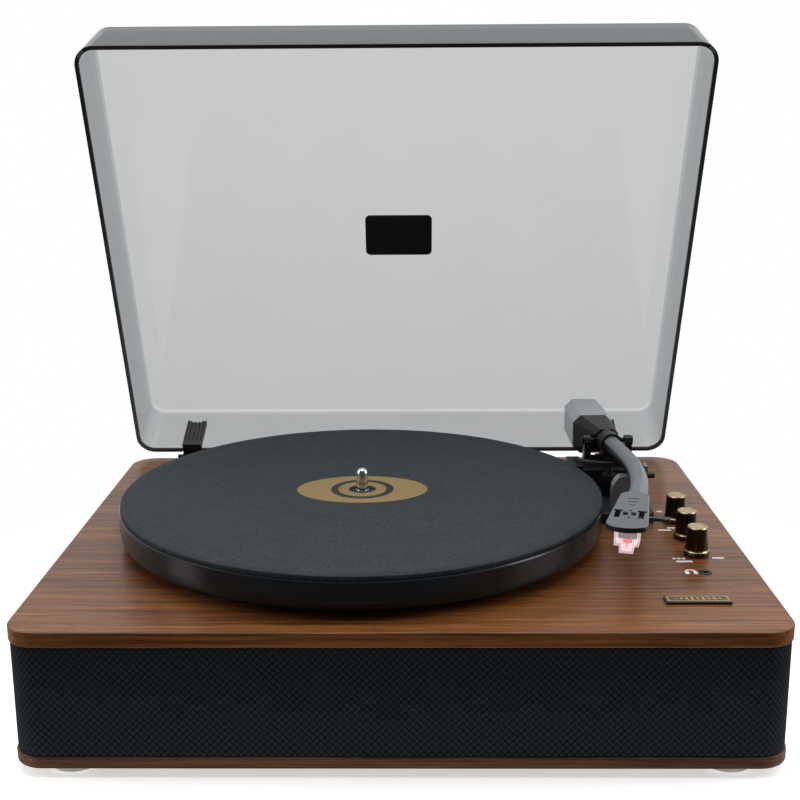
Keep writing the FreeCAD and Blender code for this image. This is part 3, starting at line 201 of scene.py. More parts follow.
class Recipe(NodeTree):
    """A material under construction, with one Principled shader."""

    def __init__(self, name: str) -> None:
        """Start an empty material.

        Args:
            name: the material's name.
        """
        self.material = bpy.data.materials.new(name)
        super().__init__(self.material)
        self.shader = self.node("ShaderNodeBsdfPrincipled")
        self.node("ShaderNodeOutputMaterial", None, {"Surface": Signal(self, self.shader.outputs[0])})

    def set(self, **values: Any) -> None:
        """Feed the shader's sockets; an underscore in a name stands for a space.

        Args:
            **values: constants or Signals by socket name.
        """
        for key, value in values.items():
            self.feed(self.shader.inputs[key.replace("_", " ")], value)

    def place(self) -> Signal:
        """The point on the piece, in metres in the shared frame."""
        return self.signal("ShaderNodeTexCoord", "Object")

    def face(self) -> Signal:
        """The direction that the surface faces, in the shared frame at rest."""
        return self.signal("ShaderNodeTexCoord", "Normal")

    def glancing(self) -> Signal:
        """0 where the surface is seen square on, 1 at its edges."""
        return self.signal("ShaderNodeLayerWeight", "Facing", None, {"Blend": 0.5})

    def stretched(self, vector: Signal, factors: Point) -> Signal:
        """A vector with each of its parts multiplied by that axis's factor."""
        return self.signal("ShaderNodeVectorMath", "Vector", {"operation": "MULTIPLY"},
                           {0: vector, 1: factors})

    def shifted(self, vector: Signal, offset: Point) -> Signal:
        """A vector with a constant offset taken from it."""
        return self.signal("ShaderNodeVectorMath", "Vector", {"operation": "SUBTRACT"},
                           {0: vector, 1: offset})

    def along(self, vector: Signal, direction: Point) -> Signal:
        """How far a vector reaches along a direction, as a value."""
        return self.signal("ShaderNodeVectorMath", "Value", {"operation": "DOT_PRODUCT"},
                           {0: vector, 1: direction})

    def length(self, vector: Signal) -> Signal:
        """The length of a vector, as a value."""
        return self.signal("ShaderNodeVectorMath", "Value", {"operation": "LENGTH"}, {0: vector})

    def noise(self, vector: Signal, scale: float, detail: float = 2.0, rough: float = 0.5,
              bend: float = 0.0) -> Signal:
        """Fractal noise at a point.

        Args:
            vector: the point.
            scale: features per unit.
            detail: octaves.
            rough: how strong the finer octaves are.
            bend: distortion.

        Returns:
            A value around 0.5.
        """
        return self.signal("ShaderNodeTexNoise", 0, {"noise_dimensions": "3D"},
                           {"Vector": vector, "Scale": scale, "Detail": detail, "Roughness": rough,
                            "Distortion": bend})

    def grain(self, vector: Signal, factors: Point, detail: float = 2.0, rough: float = 0.5,
              bend: float = 0.0) -> Signal:
        """Fractal noise with its own number of features per metre along each axis."""
        return self.noise(self.stretched(vector, factors), 1.0, detail, rough, bend)

    def cells(self, vector: Signal, scale: float) -> Signal:
        """Distance in cells to the nearest of scattered points, with so many points per unit."""
        return self.signal("ShaderNodeTexVoronoi", "Distance", {"feature": "F1"},
                           {"Vector": vector, "Scale": scale})

    def blend(self, share: Any, first: Any, second: Any) -> Signal:
        """Two colours mixed, with this share of the second."""
        return self.signal("ShaderNodeMix", 2, {"data_type": "RGBA", "clamp_factor": True},
                           {0: share, 6: first, 7: second})

    def bump(self, height: Signal, depth: float, strength: float = 1.0) -> None:
        """Let a height from 0 to 1, which is so many metres deep, feed the shader's normal."""
        self.set(Normal=self.signal("ShaderNodeBump", 0, None,
                                    {"Strength": strength, "Distance": depth, "Height": height}))


# ---------------------------------------------------------------------- finishes


@dataclass(frozen=True)
class Finish:
    """A surface finish. A kind of finish says how it is painted."""

    name: str

    def material(self) -> bpy.types.Material:
        """The finish as a material, made once."""
        name = f"finish_{self.name}"
        found = bpy.data.materials.get(name)
        if found is not None:
            return found
        recipe = Recipe(name)
        self.paint(recipe)
        return recipe.material

    def paint(self, recipe: Recipe) -> None:
        """Build the finish's nodes in an empty material."""
        raise NotImplementedError


@dataclass(frozen=True)
class Walnut(Finish):
    """Satin walnut veneer whose straight grain runs left to right."""

    dark: Colour = shade(64, 34, 11)
    middle: Colour = shade(108, 63, 26)
    light: Colour = shade(146, 94, 46)
    pore: Colour = shade(40, 21, 9)
    roughness: float = 0.42

    def paint(self, recipe: Recipe) -> None:
        """Broad figure, fine streaks and short open pores."""
        place = recipe.place()
        sway = recipe.grain(place, (2.2, 9.0, 9.0), 2.0)
        broad = recipe.grain(place, (1.6, 42.0, 60.0), 3.0, 0.55, 0.6)
        streaks = recipe.grain(place, (9.0, 300.0, 420.0), 4.0, 0.62, 0.3)
        threads = recipe.grain(place, (22.0, 1000.0, 1300.0), 2.0, 0.5)
        pores = recipe.grain(place, (85.0, 2600.0, 2600.0), 1.0)
        open_pore = pores.band(0.62, 0.70)
        figure = broad * 0.26 + streaks * 0.46 + threads * 0.28 + (sway - 0.5) * 0.16
        stops = [(0.37, self.dark), (0.49, self.middle), (0.63, self.light)]
        body = recipe.signal("ShaderNodeValToRGB", 0, {"stops": stops}, {"Fac": figure})
        colour = recipe.blend(open_pore * 0.55, body, self.pore)
        top = recipe.along(recipe.face(), UP).band(0.5, 0.95)
        recipe.set(Base_Color=colour, Roughness=self.roughness + streaks * 0.16 + open_pore * 0.25,
                   Specular_IOR_Level=0.12, Coat_Weight=top * 0.6, Coat_Roughness=0.26)
        recipe.bump(streaks * 0.35 + threads * 0.3 - open_pore * 0.8, 0.00006, 0.6)


@dataclass(frozen=True)
class PaintedBoard(Finish):
    """Fibreboard under thin black paint."""

    colour: Colour = shade(24, 23, 23)
    fibre: Colour = shade(58, 53, 48)

    def paint(self, recipe: Recipe) -> None:
        """Fibre specks and a faint roller texture."""
        place = recipe.place()
        fibres = recipe.grain(place, (900.0, 900.0, 1400.0), 3.0, 0.7, 0.8)
        roller = recipe.noise(place, 260.0, 2.0)
        recipe.set(Base_Color=recipe.blend(fibres.band(0.55, 0.8) * 0.5, self.colour, self.fibre),
                   Roughness=0.55 + roller * 0.25)
        recipe.bump(fibres * 0.6 + roller * 0.4, 0.00012, 0.7)


@dataclass(frozen=True)
class WovenCloth(Finish):
    """Black speaker cloth in a basket weave of twin threads."""

    pitch: float = 0.00098
    half_depth: float = 0.159
    thread: Colour = shade(19, 23, 27)
    fleck: Colour = shade(62, 69, 76)
    # near-black colour painted into the low places between the threads: painted shade
    hollow_shade: Colour = shade(4, 5, 6)

    def paint(self, recipe: Recipe) -> None:
        """Threads that pass over and under each other, with flecks of lighter yarn and painted shade in the
        hollows between them.
        """
        place = recipe.place()
        sideways = recipe.along(place, (1.0, 0.0, 0.0))
        backways = recipe.along(place, (0.0, 1.0, 0.0)).apart() - self.half_depth
        around = (sideways - sideways.side() * backways) / self.pitch
        up = recipe.along(place, (0.0, 0.0, 1.0)) / self.pitch
        warp = (around * math.pi).wave().apart()
        weft = (up * math.pi).wave().apart()
        over = ((around * (math.pi / 2)).wave() * (up * (math.pi / 2)).wave()).band(-0.25, 0.25)
        height = warp * weft * (0.45 + over * 0.3) + (warp * over + weft * (1 - over)) * 0.5
        yarn = recipe.grain(place, (700.0, 700.0, 700.0), 3.0, 0.7)
        slub = recipe.grain(place, (90.0, 90.0, 900.0), 2.0, 0.6)
        body = recipe.blend(yarn.band(0.50, 0.75) * 0.35 + slub.band(0.55, 0.75) * 0.2 + over * warp * 0.6,
                            self.thread, self.fleck)
        # The weave's low places take the near-black colour: painted shade in its hollows.
        recipe.set(Base_Color=recipe.blend(height.band(0.05, 0.5), self.hollow_shade, body), Roughness=0.92,
                   Specular_IOR_Level=0.12)
        recipe.bump(height, 0.00035, 0.9)


@dataclass(frozen=True)
class Felt(Finish):
    """Pressed wool felt of a slipmat."""

    colour: Colour = shade(44, 47, 50)
    lint: Colour = shade(88, 92, 95)
    shadow: Colour = shade(32, 35, 38)

    def paint(self, recipe: Recipe) -> None:
        """Matted fibres in two directions with pale lint."""
        place = recipe.place()
        first = recipe.grain(place, (2600.0, 420.0, 600.0), 2.0, 0.6, 1.2)
        second = recipe.grain(place, (480.0, 2400.0, 600.0), 2.0, 0.6, 1.2)
        clouds = recipe.noise(place, 55.0, 3.0, 0.6)
        mat = first.most(second)
        colour = recipe.blend(mat.band(0.5, 0.75) * 0.7, self.colour, self.lint)
        shaded = recipe.blend(clouds.band(0.35, 0.75) * 0.22, colour, self.shadow)
        recipe.set(Base_Color=shaded, Roughness=0.95, Specular_IOR_Level=0.08, Sheen_Weight=0.09,
                   Sheen_Roughness=0.5, Sheen_Tint=(0.85, 0.92, 1.0, 1.0))
        recipe.bump(mat * 0.8 + clouds * 0.2, 0.00045, 0.8)


@dataclass(frozen=True)
class Moulded(Finish):
    """Moulded or painted surface with a fine spark-eroded grain."""

    colour: Colour = shade(20, 20, 21)
    roughness: float = 0.42
    grain: float = 2400.0
    depth: float = 0.00004
    coat: float = 0.0
    # a colour painted on the faces that look toward a direction: painted shade on the sides that the light
    # misses
    other: Colour = shade(20, 20, 21)
    toward: Point = (0.0, 0.0, 0.0)
    reach: Flat = (0.4, 0.6)

    def paint(self, recipe: Recipe) -> None:
        """Even colour with slight mottling, handling marks in the gloss and a fine grain.

        Faces that look toward the given direction may take another colour, which is painted shade on those
        sides.
        """
        place = recipe.place()
        fine = recipe.noise(place, self.grain, 2.0, 0.6)
        mottle = recipe.noise(place, 48.0, 3.0, 0.55)
        paler = tuple(min(1.0, part * 1.35 + 0.004) for part in self.colour)
        body = recipe.blend(mottle.band(0.35, 0.8) * 0.5, self.colour, paler)
        if any(self.toward):
            # Painted shade: faces that look toward the direction take the second colour.
            body = recipe.blend(recipe.along(recipe.face(), self.toward).band(*self.reach), body, self.other)
        recipe.set(Base_Color=body, Roughness=self.roughness - 0.06 + mottle * 0.12 + fine * 0.04,
                   Coat_Weight=self.coat, Coat_Roughness=0.08)
        recipe.bump(fine, self.depth, 0.6)


@dataclass(frozen=True)
class Rubber(Finish):
    """Dull moulded rubber with bloom."""

    colour: Colour = shade(26, 26, 27)

    def paint(self, recipe: Recipe) -> None:
        """Dusty bloom over a matt body."""
        place = recipe.place()
        bloom = recipe.noise(place, 120.0, 4.0, 0.65)
        pits = recipe.cells(place, 900.0)
        dusty = tuple(part * 0.7 + 0.03 for part in self.colour)
        recipe.set(Base_Color=recipe.blend(bloom.band(0.45, 0.8) * 0.5, self.colour, dusty),
                   Roughness=0.78 + bloom * 0.15)
        recipe.bump(pits * 0.5 + bloom * 0.5, 0.0001, 0.6)


@dataclass(frozen=True)
class Metal(Finish):
    """Bare or plated metal with marks of how it was worked."""

    colour: Colour = shade(190, 192, 194)
    roughness: float = 0.24
    lines: Point = (1800.0, 1800.0, 90.0)
    dull: float = 0.3

    def paint(self, recipe: Recipe) -> None:
        """Fine working lines and patches of tarnish."""
        place = recipe.place()
        marks = recipe.grain(place, self.lines, 3.0, 0.6)
        patch = recipe.noise(place, 160.0, 3.0, 0.6)
        worn = tuple(part * 0.55 for part in self.colour)
        recipe.set(Base_Color=recipe.blend(patch.band(0.45, 0.8) * self.dull, self.colour, worn),
                   Metallic=1.0, Roughness=self.roughness + marks * 0.12 + patch * 0.08)
        recipe.bump(marks, 0.00002, 0.5)


@dataclass(frozen=True)
class TurnedMetal(Finish):
    """Metal turned on a lathe about an upright axis, with ring-shaped tool marks."""

    colour: Colour = shade(190, 192, 194)
    roughness: float = 0.2
    axis: Flat = (0.0, 0.0)
    rings: float = 5200.0
    depth: float = 0.000008
    # share of the colour kept on the sides; below 1 it paints shade on them
    flank_shade: float = 1.0

    def paint(self, recipe: Recipe) -> None:
        """Rings about the axis on the end faces, sides darkened by painted shade, and slight uneven gloss."""
        place = recipe.shifted(recipe.place(), (*self.axis, 0.0))
        radius = recipe.length(recipe.stretched(place, (1.0, 1.0, 0.0)))
        end = recipe.along(recipe.face(), (0.0, 0.0, 1.0)).apart().band(0.45, 0.85)
        groove = ((radius * self.rings).wave() * 0.5 + 0.5) * end
        patch = recipe.noise(place, 220.0, 3.0, 0.6)
        shine = recipe.grain(place, (900.0, 900.0, 20.0), 2.0, 0.6)
        # The sides take a darker copy of the colour: painted shade.
        flank_shade = tuple(part * self.flank_shade for part in self.colour)
        body = recipe.blend(end, flank_shade, self.colour)
        worn = tuple(part * self.flank_shade * 0.6 for part in self.colour)
        recipe.set(Base_Color=recipe.blend(patch.band(0.4, 0.8) * 0.3, body, worn), Metallic=1.0,
                   Roughness=self.roughness + patch * 0.08 + shine * 0.05 + end * 0.12)
        recipe.bump(groove, self.depth, 0.6)


@dataclass(frozen=True)
class GlossLacquer(Finish):
    """Deep gloss paint on a casting."""

    colour: Colour = shade(26, 32, 36)
    dust: Colour = shade(90, 92, 95)
    roughness: float = 0.16

    def paint(self, recipe: Recipe) -> None:
        """Orange peel and faint dust in a deep coat."""
        place = recipe.place()
        peel = recipe.noise(place, 420.0, 2.0, 0.5)
        dust = recipe.noise(place, 3200.0, 1.0).band(0.70, 0.78)
        recipe.set(Base_Color=recipe.blend(dust * 0.3, self.colour, self.dust),
                   Roughness=self.roughness + peel * 0.06 + dust * 0.3, Specular_IOR_Level=0.3,
                   Coat_Weight=0.06, Coat_Roughness=0.06)
        recipe.bump(peel, 0.00002, 0.5)


@dataclass(frozen=True)
class SmokedAcrylic(Finish):
    """Smoke-tinted clear acrylic whose cut rim looks black."""

    tint: Colour = shade(40, 50, 56)
    cut_edge: Colour = shade(3, 4, 5)
    # A faint bluish emission over the walls: painted light.
    painted_glow: Colour = (0.34, 0.6, 0.74)
    clear: float = 0.22
    glancing: float = 0.4
    front_gain: float = 0.34
    rim_normal: Point = (0.0, 0.0, 1.0)
    front_normal: Point = (0.0, -1.0, 0.0)
    rim_level: float = 0.0
    front_level: float = 0.0
    rim_band: float = 0.0016
    front_band: float = 0.0015

    def paint(self, recipe: Recipe) -> None:
        """See-through walls, denser at a glancing angle, with a solid rim, faint scuffs and a faint painted
        bluish light.
        """
        place = recipe.place()
        level = recipe.along(place, self.rim_normal) - self.rim_level
        rim = level.band(self.rim_band * 1.4, self.rim_band)
        facing = recipe.glancing()
        haze = recipe.noise(place, 22.0, 4.0, 0.6)
        scuffs = recipe.grain(place, (40.0, 900.0, 900.0), 2.0).band(0.70, 0.80)
        forward = recipe.along(place, self.front_normal) - self.front_level
        front = forward.band(0.0, self.front_band)
        see = self.clear + facing * self.glancing + front * self.front_gain + (haze - 0.5) * 0.02
        recipe.set(Base_Color=recipe.blend(rim, self.tint, self.cut_edge), Alpha=see.most(rim),
                   Roughness=0.04 + scuffs * 0.12 + rim * 0.45, IOR=1.49,
                   # Painted light: a faint bluish emission over the walls, left off the front band and the
                   # rim.
                   Emission_Color=recipe.blend(front.most(rim), self.painted_glow, (0.0, 0.0, 0.0)),
                   Emission_Strength=0.05)
        recipe.material.surface_render_method = "BLENDED"


@dataclass(frozen=True)
class ClearPlastic(Finish):
    """Clear or milky plastic of small parts."""

    colour: Colour = shade(225, 220, 222)
    cloudy: Colour = shade(170, 166, 170)
    cover: float = 0.5
    roughness: float = 0.18
    # strength of the emission in the plastic's own colour: painted light
    painted_glow: float = 0.0
    edge: float = 0.4

    def paint(self, recipe: Recipe) -> None:
        """Milky body that thickens at a glancing angle, with flow lines and painted light: it emits its own
        colour.
        """
        place = recipe.place()
        facing = recipe.glancing()
        flow = recipe.grain(place, (300.0, 90.0, 300.0), 2.0, 0.5, 1.0)
        recipe.set(Base_Color=recipe.blend(flow.band(0.4, 0.8) * 0.4, self.colour, self.cloudy),
                   Alpha=(self.cover + facing * self.edge + (flow - 0.5) * 0.05).least(1.0),
                   # The emission in the plastic's own colour is painted light.
                   Roughness=self.roughness + flow * 0.08, Emission_Color=(*self.colour, 1.0),
                   Emission_Strength=self.painted_glow)
        recipe.bump(flow, 0.00003, 0.5)
        recipe.material.surface_render_method = "BLENDED"


@dataclass(frozen=True)
class ConePaper(Finish):
    """Pressed paper cone of a speaker."""

    paper: Colour = shade(30, 30, 31)
    fibre: Colour = shade(74, 72, 70)

    def paint(self, recipe: Recipe) -> None:
        """Fibrous paper with pressed curved lines."""
        place = recipe.place()
        fibres = recipe.grain(place, (1800.0, 500.0, 1500.0), 3.0, 0.7, 1.0)
        rings = (recipe.length(recipe.stretched(place, (1.0, 0.0, 1.0))) * 2400.0).wave() * 0.5 + 0.5
        recipe.set(Base_Color=recipe.blend(fibres.band(0.45, 0.8) * 0.6, self.paper, self.fibre),
                   Roughness=0.85)
        recipe.bump(fibres * 0.7 + rings * 0.3, 0.0001, 0.7)


@dataclass(frozen=True)
class CircuitBoard(Finish):
    """Green circuit board with copper tracks under its mask."""

    mask: Colour = shade(18, 66, 40)
    track: Colour = shade(60, 112, 62)

    def paint(self, recipe: Recipe) -> None:
        """Tracks in a grid of cells under a glossy mask."""
        place = recipe.place()
        grid = recipe.cells(recipe.stretched(place, (260.0, 260.0, 1.0)), 1.0)
        tracks = grid.band(0.42, 0.5) * (1 - grid.band(0.55, 0.62))
        recipe.set(Base_Color=recipe.blend(tracks, self.mask, self.track),
                   Roughness=0.3 + tracks * 0.1, Coat_Weight=0.4)
        recipe.bump(tracks, 0.00004, 0.6)


@dataclass(frozen=True)
class PrintInk(Finish):
    """Screen-printed ink."""

    colour: Colour = shade(225, 224, 220)
    metallic: float = 0.0
    roughness: float = 0.5

    def paint(self, recipe: Recipe) -> None:
        """Ink with small pinholes and uneven cover."""
        place = recipe.place()
        cover = recipe.noise(place, 1900.0, 3.0, 0.7)
        thin = tuple(part * 0.72 for part in self.colour)
        recipe.set(Base_Color=recipe.blend(cover.band(0.42, 0.75) * 0.6, self.colour, thin),
                   Metallic=self.metallic, Roughness=self.roughness + cover * 0.15)
        recipe.bump(cover, 0.00002, 0.5)


# ---------------------------------------------------------------------- building pieces


@dataclass(frozen=True)
class Builder:
    """Makes a mesh piece, dresses it and has it ride on a body."""

    name: str
    body: str
    finish: Finish
    slot: str

    def add(self, mesh: bmesh.types.BMesh, smooth: bool = True,
            stands_for: Sequence[str] = ()) -> bpy.types.Object:
        """Turn a finished bmesh into a piece of the object.

        Args:
            mesh: the bmesh, in metres in the shared frame; it is freed.
            smooth: whether its faces are shaded smooth.
            stands_for: CAD nodes that it replaces.

        Returns:
            The piece.
        """
        bmesh.ops.recalc_face_normals(mesh, faces=mesh.faces)
        data = bpy.data.meshes.new(self.name)
        mesh.to_mesh(data)
        mesh.free()
        data.materials.append(self.finish.material())
        for polygon in data.polygons:
            polygon.use_smooth = smooth
        made = bpy.data.objects.new(self.name, data)
        bpy.context.scene.collection.objects.link(made)
        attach(made, self.body)
        if stands_for:
            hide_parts(*stands_for)
        return made


def skin(mesh: bmesh.types.BMesh, rows: Sequence[Sequence[bmesh.types.BMVert]]) -> None:
    """Join closed rows of corners, each to the next, with faces.

    Args:
        mesh: the bmesh.
        rows: the rows, each with as many corners.
    """
    for row, after in zip(rows, rows[1:]):
        for index in range(len(row)):
            beside = (index + 1) % len(row)
            mesh.faces.new((row[index], row[beside], after[beside], after[index]))


def prism(mesh: bmesh.types.BMesh, outline: Sequence[Flat], low: float, high: float) -> None:
    """Add an upright prism to a bmesh.

    Args:
        mesh: the bmesh.
        outline: its corners in plan, in metres.
        low: height of its underside.
        high: height of its top.
    """
    bottom = [mesh.verts.new((x, y, low)) for x, y in outline]
    top = [mesh.verts.new((x, y, high)) for x, y in outline]
    mesh.faces.new(top)
    mesh.faces.new(list(reversed(bottom)))
    skin(mesh, [bottom, top])


def arc_band(centre: Flat, inner: float, outer: float, start: float, end: float,
             steps: int = 24) -> list[Flat]:
    """Outline of a curved band.

    Args:
        centre: middle of its arcs.
        inner: inner radius.
        outer: outer radius.
        start: first angle in degrees.
        end: last angle in degrees.
        steps: pieces along each arc.

    Returns:
        The corners, counter-clockwise.
    """
    turns = [math.radians(start + (end - start) * step / steps) for step in range(steps + 1)]
    way = [(outer, turn) for turn in turns] + [(inner, turn) for turn in reversed(turns)]
    return [(centre[0] + radius * math.cos(turn), centre[1] + radius * math.sin(turn))
            for radius, turn in way]


def ring_plate(mesh: bmesh.types.BMesh, outer: Sequence[Flat], inner: Sequence[Flat], low: float,
               high: float) -> None:
    """Add a plate between two closed outlines with as many corners as each other.

    Args:
        mesh: the bmesh.
        outer: the outer outline, in metres.
        inner: the inner outline.
        low: height of its underside.
        high: height of its top.
    """
    rows = [[mesh.verts.new((x, y, height)) for x, y in outline]
            for outline, height in ((outer, low), (outer, high), (inner, high), (inner, low))]
    skin(mesh, rows + rows[:1])


def oval(centre: Flat, half_width: float, half_depth: float, steps: int = 96) -> list[Flat]:
    """Outline of an oval about a centre."""
    return [(centre[0] + half_width * math.cos(math.tau * step / steps),
             centre[1] + half_depth * math.sin(math.tau * step / steps)) for step in range(steps)]


def bar(centre: Flat, width: float, depth: float) -> list[Flat]:
    """Outline of a rectangle about a centre."""
    x, y = centre
    return [(x - width / 2, y - depth / 2), (x + width / 2, y - depth / 2),
            (x + width / 2, y + depth / 2), (x - width / 2, y + depth / 2)]


def turned(mesh: bmesh.types.BMesh, profile: Sequence[Flat], centre: Flat, steps: int) -> None:
    """Add a body of revolution about an upright axis to a bmesh.

    Args:
        mesh: the bmesh.
        profile: closed outline as (radius, height) pairs.
        centre: the axis in plan.
        steps: facets round the axis.
    """
    rows = []
    for step in range(steps):
        turn = math.tau * step / steps
        across, along = math.cos(turn), math.sin(turn)
        rows.append([mesh.verts.new((centre[0] + radius * across, centre[1] + radius * along, height))
                     for radius, height in profile])
    skin(mesh, rows + rows[:1])


def dress(nodes: Sequence[str], finish: Finish) -> None:
    """Give CAD nodes their finish.

    Args:
        nodes: the nodes' names.
        finish: the finish for all of them.
    """
    for name in nodes:
        piece = frame["nodes"][name]
        piece.data.materials.clear()
        piece.data.materials.append(finish.material())


def middle(node: str) -> Vector:
    """The middle of a CAD node's box."""
    low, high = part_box(node)
    return (low + high) / 2


# ---------------------------------------------------------------------- sub-assemblies


@dataclass
class Plinth:
    """Wooden plinth: veneered slabs, painted core boards, feet and screws."""

    veneer: Walnut = field(default_factory=lambda: Walnut("walnut_top"))
    base_veneer: Walnut = field(default_factory=lambda: Walnut(
        "walnut_base", dark=shade(52, 31, 16), middle=shade(84, 54, 31), light=shade(112, 78, 50)))

    def build(self) -> None:
        """Dress every board, foot and screw."""
        dress(["top_board"], self.veneer)
        dress(["bottom_board"], self.base_veneer)
        dress(["front_baffle", "side_wall_left", "side_wall_right", "rear_panel"],
              PaintedBoard("black_board"))
        dress(["feet"], Rubber("foot_rubber", colour=shade(196, 196, 194)))
        dress(["base_screws", "rear_screws", "speaker_screws", "hinge_pins"],
              Metal("zinc_steel", colour=shade(176, 178, 180), roughness=0.3))


@dataclass
class GrilleCloth:
    """Speaker cloth stretched round the front and sides of the plinth and tucked in at its edges."""

    corner: float = 0.0162
    corner_steps: int = 14
    rear_end: float = 0.0212
    thickness: float = 0.0005
    tuck: float = 0.0004
    tuck_bulge: float = 0.3
    tuck_height: float = 0.0014

    def route(self) -> list[tuple[Vector, Vector]]:
        """Points along the cloth's outside in plan, from its left rear end to its right one.

        Returns:
            Pairs of a point and the direction that the cloth faces there.
        """
        low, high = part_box("speaker_cloth")
        inner_x, inner_y = high.x - self.corner, high.y - self.corner
        stations = [(Vector((low.x + self.rear_end, high.y, 0.0)), Vector((0.0, 1.0, 0.0)))]
        for x, y, start in ((-inner_x, inner_y, 90), (-inner_x, -inner_y, 180), (inner_x, -inner_y, 270),
                            (inner_x, inner_y, 0)):
            for step in range(self.corner_steps + 1):
                turn = math.radians(start + 90 * step / self.corner_steps)
                facing = Vector((math.cos(turn), math.sin(turn), 0.0))
                stations.append((Vector((x, y, 0.0)) + facing * self.corner, facing))
        stations.append((Vector((high.x - self.rear_end, high.y, 0.0)), Vector((0.0, 1.0, 0.0))))
        return stations

    def build(self) -> None:
        low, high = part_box("speaker_cloth")
        inside = self.thickness + self.tuck
        bulge, half = self.tuck * self.tuck_bulge, self.tuck_height / 2
        start, end = low.z + self.tuck_height, high.z - self.tuck_height
        section = [(inside, low.z), (self.tuck, low.z), (bulge, low.z + half), (0.0, start), (0.0, end),
                   (bulge, high.z - half), (self.tuck, high.z), (inside, high.z), (self.thickness, end),
                   (self.thickness, start)]
        mesh = bmesh.new()
        stations = self.route()
        rows = [[mesh.verts.new((*(point - facing * depth).xy, height)) for depth, height in section]
                for point, facing in stations]
        skin(mesh, rows)
        mesh.faces.new(rows[0])
        mesh.faces.new(rows[-1])
        finish = WovenCloth("speaker_cloth_weave", half_depth=high.y)
        cloth = Builder("grille_cloth", "plinth", finish, "speaker_cloth").add(
            mesh, stands_for=["speaker_cloth"])


@dataclass
class Speakers:
    """Two small drivers behind the cloth."""

    def build(self) -> None:
        """Dress frames, cones and magnets."""
        dress(["speaker_frame_left", "speaker_frame_right"], Metal("pressed_steel", colour=shade(70, 71, 72),
                                                                   roughness=0.42))
        for side in ("left", "right"):
            dress([f"speaker_cone_{side}"], ConePaper(f"cone_paper_{side}"))
        dress(["speaker_magnets"], Metal("ferrite", colour=shade(52, 52, 54), roughness=0.6))


@dataclass
class RearSockets:
    """Connector plate, its sockets and the electronics behind them."""

    def build(self) -> None:
        """Dress the plate, the sockets and the inner parts."""
        dress(["connector_plate", "aux_jack", "dc_inlet"],
              Moulded("socket_plastic", colour=shade(17, 17, 18)))
        dress(["rca_jacks"], Metal("nickel_plate", colour=shade(196, 190, 178), roughness=0.18))
        dress(["circuit_board"], CircuitBoard("circuit_mask"))
        dress(["volume_pot", "rotary_switches"],
              Moulded("switch_body", colour=shade(28, 28, 30), roughness=0.5))


class Mark(Enum):
    """Kinds of mark printed beside the controls."""

    BAR = "bar"
    DOTS = "dots"
    HEADPHONES = "headphones"


@dataclass(frozen=True)
class Label:
    """One printed mark: its kind, the piece that it stands beside, its offset and its width."""

    mark: Mark
    beside: str
    offset: Flat
    width: float
    bar_depth: float = 0.0024
    dot: Flat = (0.0011, 0.0012)
    dot_steps: int = 16
    band: float = 0.0013
    pad: Flat = (0.0022, 0.0040)
    pad_inset: Flat = (0.0010, 0.0015)

    def outlines(self) -> list[list[Flat]]:
        """The mark's shapes in plan.

        Returns:
            Closed outlines, in metres.
        """
        spot = middle(self.beside)
        x, y = spot.x + self.offset[0], spot.y + self.offset[1]
        reach = self.width / 2
        if self.mark is Mark.BAR:
            return [bar((x, y), self.width, self.bar_depth)]
        if self.mark is Mark.DOTS:
            return [oval((x + step * reach, y), *self.dot, self.dot_steps) for step in (-1, 0, 1)]
        aside, below = reach - self.pad_inset[0], y - self.pad_inset[1]
        pads = [bar((x + side * aside, below), *self.pad) for side in (-1, 1)]
        return [arc_band((x, y), reach - self.band, reach, 0, 180), *pads]


